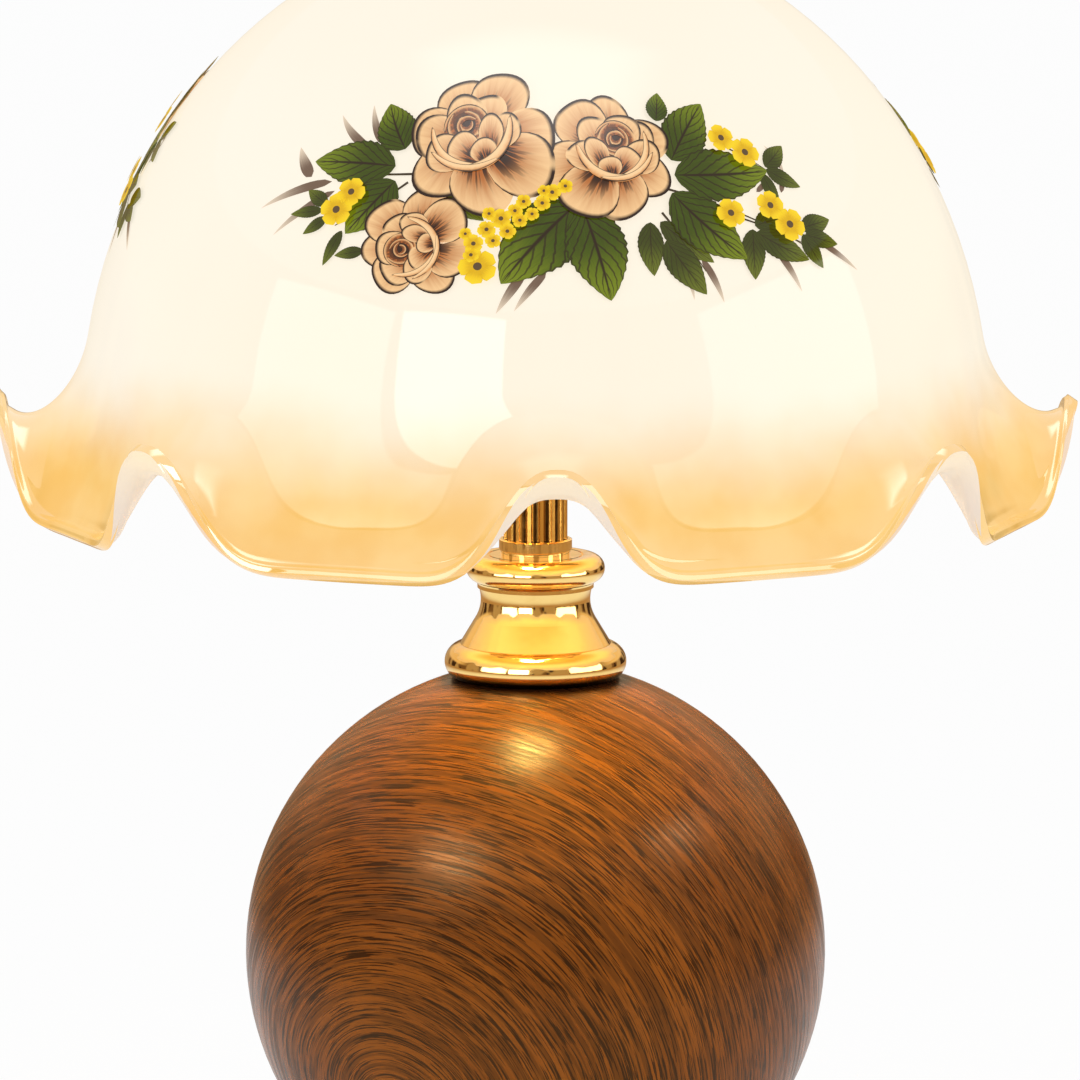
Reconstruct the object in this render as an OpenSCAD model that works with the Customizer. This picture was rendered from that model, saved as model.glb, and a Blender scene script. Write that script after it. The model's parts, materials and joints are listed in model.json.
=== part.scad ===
// Table lamp: a turned wooden ball on a brass foot, a brass neck with a fluted stem,
// a lampholder with a turn switch, and a ruffled opal glass shade carried on a harp.
// Millimetres, +Z up, origin on the table under the lamp's axis. The front faces -Y.

/* [Base] */
// Outer diameter of the brass foot
foot_d = 124; // [110:1:150]
// Height of the brass foot
foot_h = 18; // [16:0.5:24]
// Gap between the brass foot and the table
foot_lift = 2; // [1:0.25:2.5]
// From the foot's edge in to the circle on which the ball sits
seat_inset = 9.5; // [8:0.5:13]
// Radius of the bead round the bottom of the foot
foot_bead_r = 6; // [4:0.25:7]
// Radius of the bead round the top of the foot
foot_top_bead_r = 3; // [2:0.25:4]
// Diameter of the rubber feet
pad_d = 16; // [10:1:18]
// Height of the rubber feet
pad_h = 3; // [2.75:0.25:5]
// Number of rubber feet
pad_count = 4; // [3:1:4]
// Thickness of the bottom cover
cover_t = 2; // [1:0.25:2.5]
// Height of the iron ballast disc
ballast_h = 10; // [9:0.25:11]
// From the foot's edge in to the ballast disc
foot_wall = 10; // [9:0.5:14]
// Diameter of the cord hole through the bushing
cord_hole_d = 6.6; // [5:0.2:8]
// Number of screws in the bottom cover
cover_screw_count = 3; // [3:1:4]
// Thread diameter of the cover screws
cover_screw_d = 4; // [3:0.5:5]

/* [Ball] */
// Diameter of the wooden ball
ball_d = 188; // [170:1:220]
// Diameter of the hole drilled through the ball
ball_bore_d = 10.6; // [10.5:0.1:14]

/* [Neck] */
// Diameter of the circle on which the bell stands on the ball
bell_seat_d = 53.4; // [50:0.2:55]
// How far the bead at the bottom of the bell stands out past that circle
bell_overhang = 2.7; // [2:0.1:4]
// Section radius of that bead
bell_bead_r = 6; // [5:0.25:7]
// Diameter of the bell at its waist
waist_d = 35.4; // [32:0.2:40]
// Height of the waist above the bell's seat
waist_h = 25.4; // [22:0.2:30]
// Radius of the hollow round the waist
waist_r = 12; // [9:0.5:15]
// Lean of the bell's side, from upright
bell_lean = 31; // [24:1:36]
// Height of the bell from its seat to its top
bell_h = 31; // [29:0.2:36]
// Diameter of the small step under the neck ring
step_d = 37.6; // [35:0.2:40]
// Height of the small step
step_h = 1.8; // [1:0.1:3]
// Outer diameter of the neck ring
neck_d = 44.8; // [40:0.2:50]
// Height of the neck ring
neck_h = 8.8; // [7:0.2:11]
// Diameter of the groove turned in the top of the neck ring
neck_groove_d = 31; // [28:0.5:34]

/* [Stem] */
// Outer diameter of the fluted stem
stem_d = 20.8; // [18:0.2:24]
// Length of the fluted stem
stem_l = 24; // [20:0.5:40]
// Wall of the fluted stem, flutes included
stem_wall = 2.2; // [1.8:0.1:3]
// Number of flutes
flute_count = 16; // [12:1:20]
// Radius of each flute
flute_r = 1.6; // [1:0.1:1.8]
// Depth of each flute
flute_depth = 1; // [0.5:0.1:1.2]
// Outer diameter of the stem's collars
collar_d = 23.6; // [23:0.2:28]
// Height of the stem's collars
collar_h = 5.3; // [4:0.1:8]
// Outer diameter of the threaded rod
rod_d = 10; // [8:0.5:10]
// Bore of the threaded rod
rod_bore_d = 7; // [5:0.5:7]

/* [Lampholder] */
// Outer diameter of the socket shell
shell_d = 34.4; // [33:0.2:38]
// Length of the socket shell
shell_l = 46; // [44:0.5:54]
// Wall of the socket shell and cap
shell_wall = 0.9; // [0.6:0.1:1.2]
// Thickness of the insulating sleeve
liner_t = 1; // [0.6:0.1:1.2]
// Height of the socket cap
socket_cap_h = 19; // [17:0.5:24]
// Diameter of the hub under the socket cap
hub_d = 16; // [14:0.5:20]
// Height of the hub under the socket cap
hub_h = 5; // [4:0.5:8]
// Height of the insulating core
core_h = 22; // [20:0.5:26]
// Diameter of the switch shaft
switch_shaft_d = 4; // [3:0.2:5]
// Length of the switch key, across its wings
key_w = 17; // [12:0.5:22]
// Thickness of the switch key
key_t = 4.4; // [3:0.2:6]

/* [Bulb] */
// Diameter of the bulb's globe
bulb_d = 60; // [45:1:64]
// Overall length of the bulb
bulb_l = 105; // [96:1:112]
// Diameter of the bulb's screw base
bulb_base_d = 26; // [25.6:0.1:26.4]
// Length of the bulb's screw base
bulb_base_l = 25; // [23:0.5:27]
// Wall of the bulb's glass
bulb_wall = 1; // [0.6:0.1:1.4]

/* [Harp] */
// Diameter of the harp wire
wire_d = 4; // [3:0.2:4.6]
// Distance from the lamp's axis to each harp leg
leg_x = 27; // [25:0.5:32]
// Height of the harp, from saddle to top
harp_h = 166; // [162:1:190]
// Radius of the bow at the top of the harp
bow_r = 40; // [34:0.5:42]
// Distance of the bow's centre from the axis
bow_x = 4; // [3:0.5:6]
// Thickness of the saddle strip
saddle_t = 2; // [1.5:0.1:3]
// Width of the saddle strip
saddle_w = 13; // [12:0.5:18]
// Height of the tubes on the saddle that hold the harp's legs
tube_h = 10; // [8:0.5:13]
// Wall of those tubes
tube_wall = 0.8; // [0.6:0.1:1]
// Radius of the bend where each leg leans out
bend_r = 20; // [12:1:24]
// Length of the locking sleeves
ferrule_l = 16; // [14:0.5:18]
// Outer diameter of the locking sleeves
ferrule_d = 8.4; // [7.8:0.2:9]
// Travel of the locking sleeves
ferrule_travel = 14; // [10:0.5:16]
// Diameter of the boss at the top of the harp
boss_d = 13; // [11:0.5:16]
// Height of that boss
boss_h = 5; // [4.8:0.2:7]
// Thread diameter of the swivel post
post_d = 6; // [5:0.5:7]

/* [Shade] */
// Overall diameter of the shade, across the raised notches
shade_d = 350; // [330:1:380]
// Diameter across the hanging lobes
lobe_d = 322; // [310:1:330]
// Diameter of the dome
dome_d = 292; // [280:1:300]
// Half height of the oval that shapes the dome
dome_rise = 161; // [150:1:175]
// Height at which the ruffle starts, over the oval's centre
ruffle_start = 28; // [20:1:40]
// Height of the raised lip over the oval's centre
lip_rise = 11; // [6:0.5:16]
// Drop of the hanging lobes under the oval's centre
lobe_drop = 28.5; // [22:0.5:36]
// Number of ruffles
ruffle_count = 8; // [6:1:10]
// Sharpness of the notches between the lobes
notch_power = 3.4; // [1.5:0.1:4]
// Sharpness of the outward flare at the notches
flare_power = 1.3; // [1:0.1:2]
// Angle of the front notch from straight ahead
notch_angle = 2.2; // [-22:0.1:22]
// Thickness of the glass
glass_t = 3.5; // [3:0.1:4.5]
// Diameter of the flat crown of the glass
crown_d = 46; // [44:1:60]
// Diameter of the hole in the crown
crown_hole_d = 13; // [11:0.5:16]
// Diameter of the brass seat under the glass
shade_seat_d = 42; // [36:1:44]
// Thickness of the brass seat
shade_seat_t = 1.6; // [1:0.1:2.5]
// Thickness of the rubber washers
gasket_t = 1.2; // [0.8:0.1:2]
// Diameter of the brass cap over the glass
cap_d = 54; // [48:1:60]
// Height of the brass cap
cap_h = 10; // [8:0.5:14]

/* [Finial] */
// Diameter of the finial's ball
finial_ball_d = 15; // [12:0.5:18]
// Diameter of the finial's base
finial_base_d = 14; // [12:0.5:15]
// Height of the finial
finial_h = 25; // [23:0.5:30]

/* [Hidden] */
$fn = 96;

// Clearances
slip = 0.1;      // between pieces that slide or turn in each other
play = 0.3;      // between pieces that are only dropped in place
thread_gap = 0.1; // between a thread and its hole, both drawn plain
eps = 0.01;

// Levels up to the ball
cover_z = pad_h;
ballast_z = cover_z + cover_t;
ballast_top = ballast_z + ballast_h;
foot_top = foot_lift + foot_h;
seat_d = foot_d - 2 * seat_inset;
ballast_d = foot_d - 2 * foot_wall;
ball_r = ball_d / 2;
ball_z = foot_top + sqrt(ball_r * ball_r - seat_d * seat_d / 4);
ball_flat_z = ballast_top + slip;
rod_hole_d = rod_d + 2 * play;

// Base fasteners and bushing
pad_circle_r = ballast_d / 2 - pad_d / 2;
screw_circle_r = 28;
screw_head_d = 1.7 * cover_screw_d;
screw_head_h = 1.5;
screw_depth = 7;
cover_d = ballast_d + 4;
foot_neck_r = foot_d / 2 - foot_bead_r - 1;
ledge_r = seat_d / 2 - 6;
nut_recess_d = 32;
web_t = 4;
washer_t = 1.5;
washer_d = 22;
nut_h = 3.4;
nut_across_corners = 17;
web_z = ballast_top - web_t;
washer_z = web_z - washer_t;
nut_z = washer_z - nut_h;
rod_z = nut_z - 0.5;
bush_z = foot_lift + foot_bead_r + 1;
bush_wall = 1.1;
bush_flange_d = cord_hole_d + 2 * bush_wall + 4;
bush_flange_t = 1.6;
bush_inner_y = cover_d / 2 + slip;
bush_face_y = foot_d / 2 - 1.2;
channel_w = cord_hole_d + 2.4;

// Levels up the neck and stem
bell_z = ball_z + sqrt(ball_r * ball_r - bell_seat_d * bell_seat_d / 4);
bell_bead_x = bell_seat_d / 2 + bell_overhang - bell_bead_r;
bell_bead_z = bell_z + sqrt(bell_bead_r * bell_bead_r - pow(bell_seat_d / 2 - bell_bead_x, 2));
bell_top = bell_z + bell_h;
waist_z = bell_z + waist_h;
waist_x = waist_d / 2 + waist_r;
bell_tangent = [waist_x - waist_r * cos(bell_lean), waist_z - waist_r * sin(bell_lean)];
bell_side_z = bell_bead_z + bell_bead_r;
bell_side_x = bell_tangent[0] + (bell_tangent[1] - bell_side_z) * tan(bell_lean);
bell_cavity_d = waist_d - 10;
neck_top = bell_top + neck_h;
collar_floor = 1.5;
stem_z = neck_top + collar_floor;
stem_top = stem_z + stem_l;
stem_cap_top = stem_top + collar_floor;
saddle_z = stem_cap_top;
saddle_top = saddle_z + saddle_t;

// Levels in the lampholder
socket_z = saddle_top;
rod_top = socket_z + hub_h + 5;
socket_cap_d = shell_d + 2 * (shell_wall + slip);
socket_cap_top = socket_z + socket_cap_h;
cone_h = 7;
shell_z = socket_z + hub_h + cone_h + slip;
shell_top = shell_z + shell_l;
liner_d = shell_d - 2 * (shell_wall + slip);
core_d = liner_d - 2 * (liner_t + slip);
core_z = shell_z;
core_top = core_z + core_h;
switch_z = socket_cap_top + switch_shaft_d / 2 + 2;
switch_hole_d = switch_shaft_d + 2;
key_y = shell_d / 2 + 4;
key_hub_d = switch_shaft_d + 4;
key_l = 11;
screw_shell_d = bulb_base_d + 2 * (slip + 0.6);
screw_shell_z = core_top;

// Levels in the bulb
bulb_z = core_top + slip;
bulb_tip_d = 9;
bulb_tip_h = 2.6;
bulb_base_z = bulb_z + bulb_tip_h;
bulb_neck_z = bulb_base_z + bulb_base_l;
bulb_r = bulb_d / 2;
bulb_c = bulb_z + bulb_l - bulb_r;
bulb_neck_r = bulb_base_d / 2 - 0.3;
screw_shell_h = bulb_base_l - 2;

// Harp route, in the plane of the legs: up a leg, out round a bend, up the arm and over the bow
tube_d = wire_d + 2 * (slip + tube_wall);
leg_z = saddle_top + slip;
leg_top = saddle_top + ferrule_l + ferrule_travel + 1;
harp_top = saddle_top + harp_h;
bar_z = harp_top - boss_h / 2;
bow_z = bar_z - bow_r;
bend_to_bow = [bow_x - leg_x - bend_r, bow_z - leg_top];
arm_lean = asin((bow_r + bend_r) / norm(bend_to_bow)) + atan(bend_to_bow[0] / bend_to_bow[1]);
bend_steps = 3;
bow_steps = 14;
wire_sides = 16;

// One side's stations, each [x, z, lean from upright]
half_route = concat(
    [[leg_x, leg_z, 0]],
    [
        for (i = [0 : bend_steps])
            let (t = arm_lean * i / bend_steps)
            [leg_x + bend_r * (1 - cos(t)), leg_top + bend_r * sin(t), t]
    ],
    [
        for (i = [0 : bow_steps])
            let (t = arm_lean - (90 + arm_lean) * i / bow_steps)
            [bow_x + bow_r * cos(t), bow_z - bow_r * sin(t), t]
    ]
);
route_steps = len(half_route);
wire_route = concat(
    half_route,
    [for (i = [1 : route_steps]) let (p = half_route[route_steps - i]) [-p[0], p[1], 180 - p[2]]]
);

// Stack that carries the shade
shoulder_d = boss_d + 2;
shoulder_t = 2;
rivet_d = boss_d - 4;
rivet_t = 1.4;
shank_d = post_d - 1;
shade_seat_z = harp_top + shoulder_t;
lower_gasket_z = shade_seat_z + shade_seat_t;
crown_under = lower_gasket_z + gasket_t;
crown_top = crown_under + glass_t;
cap_z = crown_top + gasket_t;
finial_z = cap_z + cap_h;
post_top = finial_z + 9;

// Shade surface
dome_r = dome_d / 2;
crown_r = crown_d / 2;
dome_z = crown_top - dome_rise * sqrt(1 - pow(crown_r / dome_r, 2));
join_u = ruffle_start / dome_rise;
join_r = dome_r * sqrt(1 - join_u * join_u);
join_slope = dome_r / dome_rise * join_u / sqrt(1 - join_u * join_u);
join_pull = 20;
skirt_start = [join_r, dome_z + ruffle_start];
skirt_pull = skirt_start + join_pull * [join_slope, -1];
notch_curve = [
    skirt_start, skirt_pull,
    [shade_d / 2 - 9, dome_z - 12],
    [shade_d / 2 - 0.8 * glass_t, dome_z + lip_rise]
];
lobe_curve = [
    skirt_start, skirt_pull,
    [lobe_d / 2 - 12, dome_z - lobe_drop / 3],
    [lobe_d / 2, dome_z - lobe_drop]
];
round_steps = 96;
crown_steps = 1;
dome_steps = 11;
skirt_steps = 13;
lip_steps = 3;
surface_steps = crown_steps + dome_steps + skirt_steps;

// A point on a cubic curve through four handles
function cubic(p, s) =
    pow(1 - s, 3) * p[0] + 3 * pow(1 - s, 2) * s * p[1] + 3 * (1 - s) * s * s * p[2] + pow(s, 3) * p[3];

// Height of the ruffle's wave, 1 at a notch and 0 in the middle of a lobe
function wave(a, power) = pow((1 + cos(ruffle_count * (a - notch_angle))) / 2, power);

// Radius and height of the ruffled skirt at share s of its length
function skirt_rz(s, a) =
    let (
        n = cubic(notch_curve, s),
        l = cubic(lobe_curve, s),
        wr = wave(a, flare_power),
        wz = wave(a, notch_power)
    )
    [l[0] + (n[0] - l[0]) * wr, l[1] + (n[1] - l[1]) * wz];

// Radius and height of the outer face: crown for u up to 1, dome up to 2, skirt up to 3
function outer_rz(u, a) =
    u <= 1 ? [crown_hole_d / 2 + u * (crown_r - crown_hole_d / 2), crown_top]
    : u <= 2 ?
        let (t0 = asin(crown_r / dome_r), t1 = acos(join_u), t = t0 + (u - 1) * (t1 - t0))
        [dome_r * sin(t), dome_z + dome_rise * cos(t)]
    : skirt_rz(u - 2, a);

// A point of the outer face; angle 0 faces the front
function on_face(u, a) = let (p = outer_rz(u, a)) [p[0] * sin(a), -p[0] * cos(a), p[1]];

function unit(v) = v / norm(v);

// Direction down the face, and outward from it
function down_face(u, a) = unit(on_face(min(u + 0.01, 3), a) - on_face(min(u + 0.01, 3) - 0.02, a));
function out_of_face(u, a) =
    u <= 1 ? [0, 0, 1] : unit(cross(on_face(u, a + 0.5) - on_face(u, a - 0.5), down_face(u, a)) * -1);

// The share of the face at each step down it
function step_u(i) =
    i <= crown_steps ? i / crown_steps
    : i <= crown_steps + dome_steps ? 1 + (i - crown_steps) / dome_steps
    : 2 + (i - crown_steps - dome_steps) / skirt_steps;

// One ring of the glass wall's outline: down the outside, round the lip and up the inside
ring_count = 2 * (surface_steps + 1) + lip_steps;
function wall_point(k, a) =
    k <= surface_steps ? on_face(step_u(k), a)
    : k <= surface_steps + lip_steps ?
        let (turn = 180 * (k - surface_steps) / (lip_steps + 1), n = out_of_face(3, a), d = down_face(3, a))
        on_face(3, a) + glass_t / 2 * ((cos(turn) - 1) * n + sin(turn) * d)
    :
        let (u = step_u(ring_count - 1 - k))
        on_face(u, a) - glass_t * out_of_face(u, a);

// Places children round the axis
module around(count, r, start) {
    for (i = [0 : count - 1])
        rotate([0, 0, start + 360 * i / count])
            translate([r, 0, 0])
                children();
}

// Half a disc, bulging outward from a profile's edge
module half_round(x, z, r) {
    translate([x, z])
        intersection() {
            circle(r = r);
            translate([0, -r]) square([r, 2 * r]);
        }
}

// A ring with a round outer edge, for collars
module rounded_ring(d, h, edge) {
    rotate_extrude() {
        square([d / 2 - edge, h]);
        translate([d / 2 - edge, 0])
            intersection() {
                translate([0, h / 2]) circle(r = h / 2);
                square([edge, h]);
            }
    }
}

module rubber_feet() {
    color("#1c1b1a")
        around(pad_count, pad_circle_r, 45)
            difference() {
                cylinder(d1 = pad_d - 1.6, d2 = pad_d, h = pad_h);
                translate([0, 0, -eps]) cylinder(d = pad_d / 3, h = pad_h / 2);
            }
}

module base_cover() {
    color("#3a3733")
        difference() {
            translate([0, 0, cover_z]) cylinder(d = cover_d, h = cover_t);
            around(cover_screw_count, screw_circle_r, 30)
                translate([0, 0, cover_z - 1]) cylinder(d = cover_screw_d + 2 * slip, h = cover_t + 2);
        }
}

module cover_screws() {
    color("#8f8f8c")
        around(cover_screw_count, screw_circle_r, 30)
            difference() {
                union() {
                    translate([0, 0, cover_z - screw_head_h]) cylinder(d = screw_head_d, h = screw_head_h);
                    translate([0, 0, cover_z - eps]) cylinder(d = cover_screw_d, h = cover_t + screw_depth);
                }
                translate([-screw_head_d / 2, -0.5, cover_z - screw_head_h - eps])
                    cube([screw_head_d, 1, 0.8]);
            }
}

module ballast() {
    color("#4b4845")
        difference() {
            translate([0, 0, ballast_z]) cylinder(d = ballast_d, h = ballast_h);
            translate([0, 0, ballast_z - 1]) cylinder(d = rod_hole_d, h = ballast_h + 2);
            translate([0, 0, ballast_z - 1]) cylinder(d = nut_recess_d, h = ballast_h - web_t + 1);
            translate([-channel_w / 2, 0, ballast_z - 1])
                cube([channel_w, ballast_d, bush_z - ballast_z + channel_w / 2 + 1]);
            around(cover_screw_count, screw_circle_r, 30)
                translate([0, 0, ballast_z - 1])
                    cylinder(d = cover_screw_d + 2 * thread_gap, h = screw_depth + 2);
        }
}

module foot_ring() {
    body_r = foot_d / 2 - foot_bead_r;
    waist = foot_lift + 2 * foot_bead_r;
    color("#d9a441")
        difference() {
            rotate_extrude() {
                difference() {
                    union() {
                        translate([0, foot_lift]) square([body_r, 2 * foot_bead_r]);
                        half_round(body_r, foot_lift + foot_bead_r, foot_bead_r);
                        translate([0, waist - 1]) square([foot_neck_r, foot_top - waist + 1]);
                        half_round(foot_neck_r, foot_top - foot_top_bead_r, foot_top_bead_r);
                    }
                    translate([0, -1]) square([cover_d / 2 + slip, ballast_z + 1]);
                    translate([0, -1]) square([ballast_d / 2 + slip, ballast_top + 1]);
                    square([ledge_r, 2 * foot_top]);
                }
            }
            translate([0, 0, ball_z]) sphere(r = ball_r + eps);
            translate([0, 0, bush_z]) rotate([-90, 0, 0])
                cylinder(d = cord_hole_d + 2 * bush_wall + 2 * slip, h = foot_d);
            translate([0, bush_face_y, bush_z]) rotate([-90, 0, 0])
                cylinder(d = bush_flange_d + 2 * slip, h = foot_d);
        }
}

module cord_bushing() {
    color("#1c1b1a")
        translate([0, 0, bush_z])
            rotate([-90, 0, 0])
                difference() {
                    union() {
                        translate([0, 0, bush_inner_y])
                            cylinder(d = cord_hole_d + 2 * bush_wall, h = bush_face_y - bush_inner_y + eps);
                        translate([0, 0, bush_face_y]) cylinder(d = bush_flange_d, h = bush_flange_t);
                    }
                    translate([0, 0, bush_inner_y - 1]) cylinder(d = cord_hole_d, h = foot_d);
                }
}

module bottom_nut() {
    color("#a9a69d")
        translate([0, 0, nut_z])
            difference() {
                cylinder(d = nut_across_corners, h = nut_h, $fn = 6);
                translate([0, 0, -1]) cylinder(d = rod_d + 2 * thread_gap, h = nut_h + 2);
            }
}

module bottom_washer() {
    color("#a9a69d")
        translate([0, 0, washer_z])
            difference() {
                cylinder(d = washer_d, h = washer_t);
                translate([0, 0, -1]) cylinder(d = rod_hole_d, h = washer_t + 2);
            }
}

module wood_ball() {
    color("#7c4a22")
        difference() {
            translate([0, 0, ball_z]) sphere(r = ball_r);
            translate([0, 0, ball_z - ball_d]) cylinder(d = ball_bore_d, h = 2 * ball_d);
            translate([-ball_d, -ball_d, ball_flat_z - ball_d]) cube([2 * ball_d, 2 * ball_d, ball_d]);
        }
}

module bell_cap() {
    color("#d9a441")
        difference() {
            rotate_extrude() {
                translate([0, bell_z - bell_bead_r])
                    square([bell_bead_x, bell_side_z - bell_z + bell_bead_r]);
                translate([bell_bead_x, bell_bead_z]) circle(r = bell_bead_r);
                difference() {
                    polygon([
                        [0, bell_side_z - 1], [bell_side_x, bell_side_z - 1], [bell_side_x, bell_side_z],
                        bell_tangent, [bell_tangent[0], bell_top], [0, bell_top]
                    ]);
                    translate([waist_x, waist_z]) circle(r = waist_r);
                }
                translate([0, bell_top - step_h]) square([step_d / 2, step_h]);
            }
            translate([0, 0, ball_z]) sphere(r = ball_r + eps);
            translate([0, 0, bell_z - bell_bead_r]) cylinder(d = bell_cavity_d, h = bell_h + bell_bead_r - 5);
            translate([0, 0, bell_z]) cylinder(d = rod_hole_d, h = 2 * bell_h);
        }
}

module neck_ring() {
    color("#d9a441")
        translate([0, 0, bell_top])
            difference() {
                rounded_ring(neck_d, neck_h, neck_h / 2);
                translate([0, 0, -1]) cylinder(d = rod_hole_d, h = neck_h + 2);
                translate([0, 0, neck_h - 0.5])
                    difference() {
                        cylinder(d = neck_groove_d, h = 1);
                        translate([0, 0, -1]) cylinder(d = neck_groove_d - 1.2, h = 3);
                    }
            }
}

// A collar with its floor at z 0 and a cup for the end of the stem above it
module collar_form() {
    difference() {
        union() {
            cylinder(d = collar_d - 1, h = collar_h);
            translate([0, 0, collar_floor]) rounded_ring(collar_d, collar_h - collar_floor, 1);
        }
        translate([0, 0, collar_floor]) cylinder(d = stem_d + 2 * slip, h = collar_h);
        translate([0, 0, -1]) cylinder(d = rod_hole_d, h = collar_h);
    }
}

module stem_collar() {
    color("#d9a441") translate([0, 0, neck_top]) collar_form();
}

module fluted_stem() {
    color("#d9a441")
        translate([0, 0, stem_z])
            linear_extrude(stem_l)
                difference() {
                    circle(d = stem_d);
                    circle(d = stem_d - 2 * stem_wall);
                    around(flute_count, stem_d / 2 + flute_r - flute_depth, 0) circle(r = flute_r);
                }
}

module stem_cap() {
    color("#d9a441") translate([0, 0, stem_cap_top]) mirror([0, 0, 1]) collar_form();
}

module threaded_rod() {
    color("#b9b6ab")
        translate([0, 0, rod_z])
            difference() {
                cylinder(d = rod_d, h = rod_top - rod_z);
                translate([0, 0, -1]) cylinder(d = rod_bore_d, h = rod_top - rod_z + 2);
            }
}

module harp_saddle() {
    color("#c79a45")
        difference() {
            union() {
                for (x = [-leg_x, leg_x]) {
                    translate([x, 0, saddle_z]) cylinder(d = saddle_w, h = saddle_t);
                    translate([x, 0, saddle_z + eps]) cylinder(d = tube_d, h = saddle_t + tube_h);
                }
                translate([-leg_x, -saddle_w / 2, saddle_z]) cube([2 * leg_x, saddle_w, saddle_t]);
            }
            translate([0, 0, saddle_z - 1]) cylinder(d = rod_hole_d, h = saddle_t + 2);
            for (x = [-leg_x, leg_x])
                translate([x, 0, saddle_top]) cylinder(d = wire_d + 2 * slip, h = 2 * tube_h);
        }
}

module socket_cap() {
    color("#d9a441")
        translate([0, 0, socket_z])
            difference() {
                union() {
                    cylinder(d = hub_d, h = hub_h + 1);
                    translate([0, 0, hub_h]) cylinder(d1 = hub_d + 2, d2 = socket_cap_d, h = cone_h);
                    translate([0, 0, hub_h + cone_h - eps])
                        cylinder(d = socket_cap_d, h = socket_cap_h - hub_h - cone_h);
                    translate([0, 0, socket_cap_h - 2]) rounded_ring(socket_cap_d + 1.2, 2, 1);
                }
                translate([0, 0, -1]) cylinder(d = rod_d + 2 * thread_gap, h = socket_cap_h);
                translate([0, 0, hub_h + 2]) cylinder(d1 = hub_d, d2 = liner_d, h = cone_h - 2 + eps);
                translate([0, 0, hub_h + cone_h]) cylinder(d = shell_d + 2 * slip, h = socket_cap_h);
            }
}

module socket_shell() {
    color("#d9a441")
        difference() {
            union() {
                translate([0, 0, shell_z]) cylinder(d = shell_d, h = shell_l);
                translate([0, 0, shell_top - 2.4]) rounded_ring(shell_d + 1.6, 2.4, 1.2);
                translate([0, 0, shell_top - 14]) rounded_ring(shell_d + 1, 2, 1);
            }
            translate([0, 0, shell_z - 1]) cylinder(d = shell_d - 2 * shell_wall, h = shell_l + 2);
            translate([0, 0, switch_z]) rotate([90, 0, 0]) cylinder(d = switch_hole_d, h = shell_d);
        }
}

module socket_liner() {
    color("#b8a98c")
        difference() {
            translate([0, 0, shell_z]) cylinder(d = liner_d, h = shell_l - 3);
            translate([0, 0, shell_z - 1]) cylinder(d = liner_d - 2 * liner_t, h = shell_l);
            translate([0, 0, switch_z]) rotate([90, 0, 0]) cylinder(d = switch_hole_d, h = shell_d);
        }
}

terminal_x = core_d / 2 - 4;
terminal_z = core_z + 7;
terminal_d = 4.4;

module socket_core() {
    color("#2a211c")
        difference() {
            translate([0, 0, core_z]) cylinder(d = core_d, h = core_h);
            translate([0, 0, switch_z])
                rotate([90, 0, 0])
                    cylinder(d = switch_shaft_d + 2 * slip, h = core_d);
            for (side = [0, 180])
                rotate([0, 0, side])
                    translate([terminal_x, -terminal_d, core_z - 1])
                        cube([core_d, 2 * terminal_d, terminal_z - core_z + terminal_d + 1]);
        }
}

module terminal_screws() {
    color("#c79a45")
        for (side = [0, 180])
            rotate([0, 0, side])
                translate([terminal_x, 0, terminal_z])
                    rotate([0, 90, 0])
                        difference() {
                            cylinder(d = terminal_d, h = 2);
                            translate([-terminal_d / 2, -0.4, 1.3]) cube([terminal_d, 0.8, 1]);
                        }
}

module screw_shell() {
    color("#c9c2ae")
        translate([0, 0, screw_shell_z])
            difference() {
                cylinder(d = screw_shell_d, h = screw_shell_h);
                translate([0, 0, bulb_tip_h / 2]) cylinder(d = bulb_base_d + 2 * slip, h = screw_shell_h);
                translate([0, 0, -1]) cylinder(d = bulb_base_d - 6, h = screw_shell_h);
            }
}

module switch_shaft() {
    color("#b9b6ab")
        translate([0, 0, switch_z])
            rotate([90, 0, 0])
                translate([0, 0, slip]) cylinder(d = switch_shaft_d, h = key_y + key_l / 2 - slip);
}

module switch_key() {
    color("#241d19")
        translate([0, -key_y, switch_z])
            rotate([90, 0, 0])
                difference() {
                    union() {
                        cylinder(d = key_hub_d, h = key_l);
                        intersection() {
                            translate([-key_w / 2, -key_t / 2, 3]) cube([key_w, key_t, key_l]);
                            translate([0, key_t, key_l / 2 + 1.5])
                                rotate([90, 0, 0])
                                    cylinder(d = key_w, h = 2 * key_t);
                        }
                    }
                    translate([0, 0, -1])
                        cylinder(d = switch_shaft_d + 2 * thread_gap, h = key_l / 2 + 1 + slip);
                }
}

module bulb_tip() {
    color("#3a3733")
        translate([0, 0, bulb_z])
            cylinder(d1 = bulb_tip_d, d2 = bulb_base_d - 8, h = bulb_tip_h);
}

module bulb_base() {
    color("#c9c6bd")
        translate([0, 0, bulb_base_z])
            difference() {
                union() {
                    cylinder(d1 = bulb_base_d - 6, d2 = bulb_base_d - 0.4, h = 3);
                    translate([0, 0, 3 - eps]) cylinder(d = bulb_base_d, h = bulb_base_l - 3);
                }
                translate([0, 0, 2]) cylinder(d = 2 * bulb_neck_r - 2, h = bulb_base_l);
            }
}

// The globe and its tangent neck, for a globe of radius r and a neck of radius n
module bulb_form(r, n) {
    drop = bulb_c - bulb_neck_z;
    span = norm([drop, n]);
    lean = asin(r / span) - atan(n / drop);
    touch = [r * cos(lean), -r * sin(lean)];
    translate([0, 0, bulb_c]) sphere(r = r);
    translate([0, 0, bulb_neck_z])
        cylinder(r1 = n, r2 = touch[0], h = drop + touch[1]);
}

module bulb_globe() {
    color("#fff3d6")
        difference() {
            bulb_form(bulb_r, bulb_neck_r);
            bulb_form(bulb_r - bulb_wall, bulb_neck_r - bulb_wall);
        }
}

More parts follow.
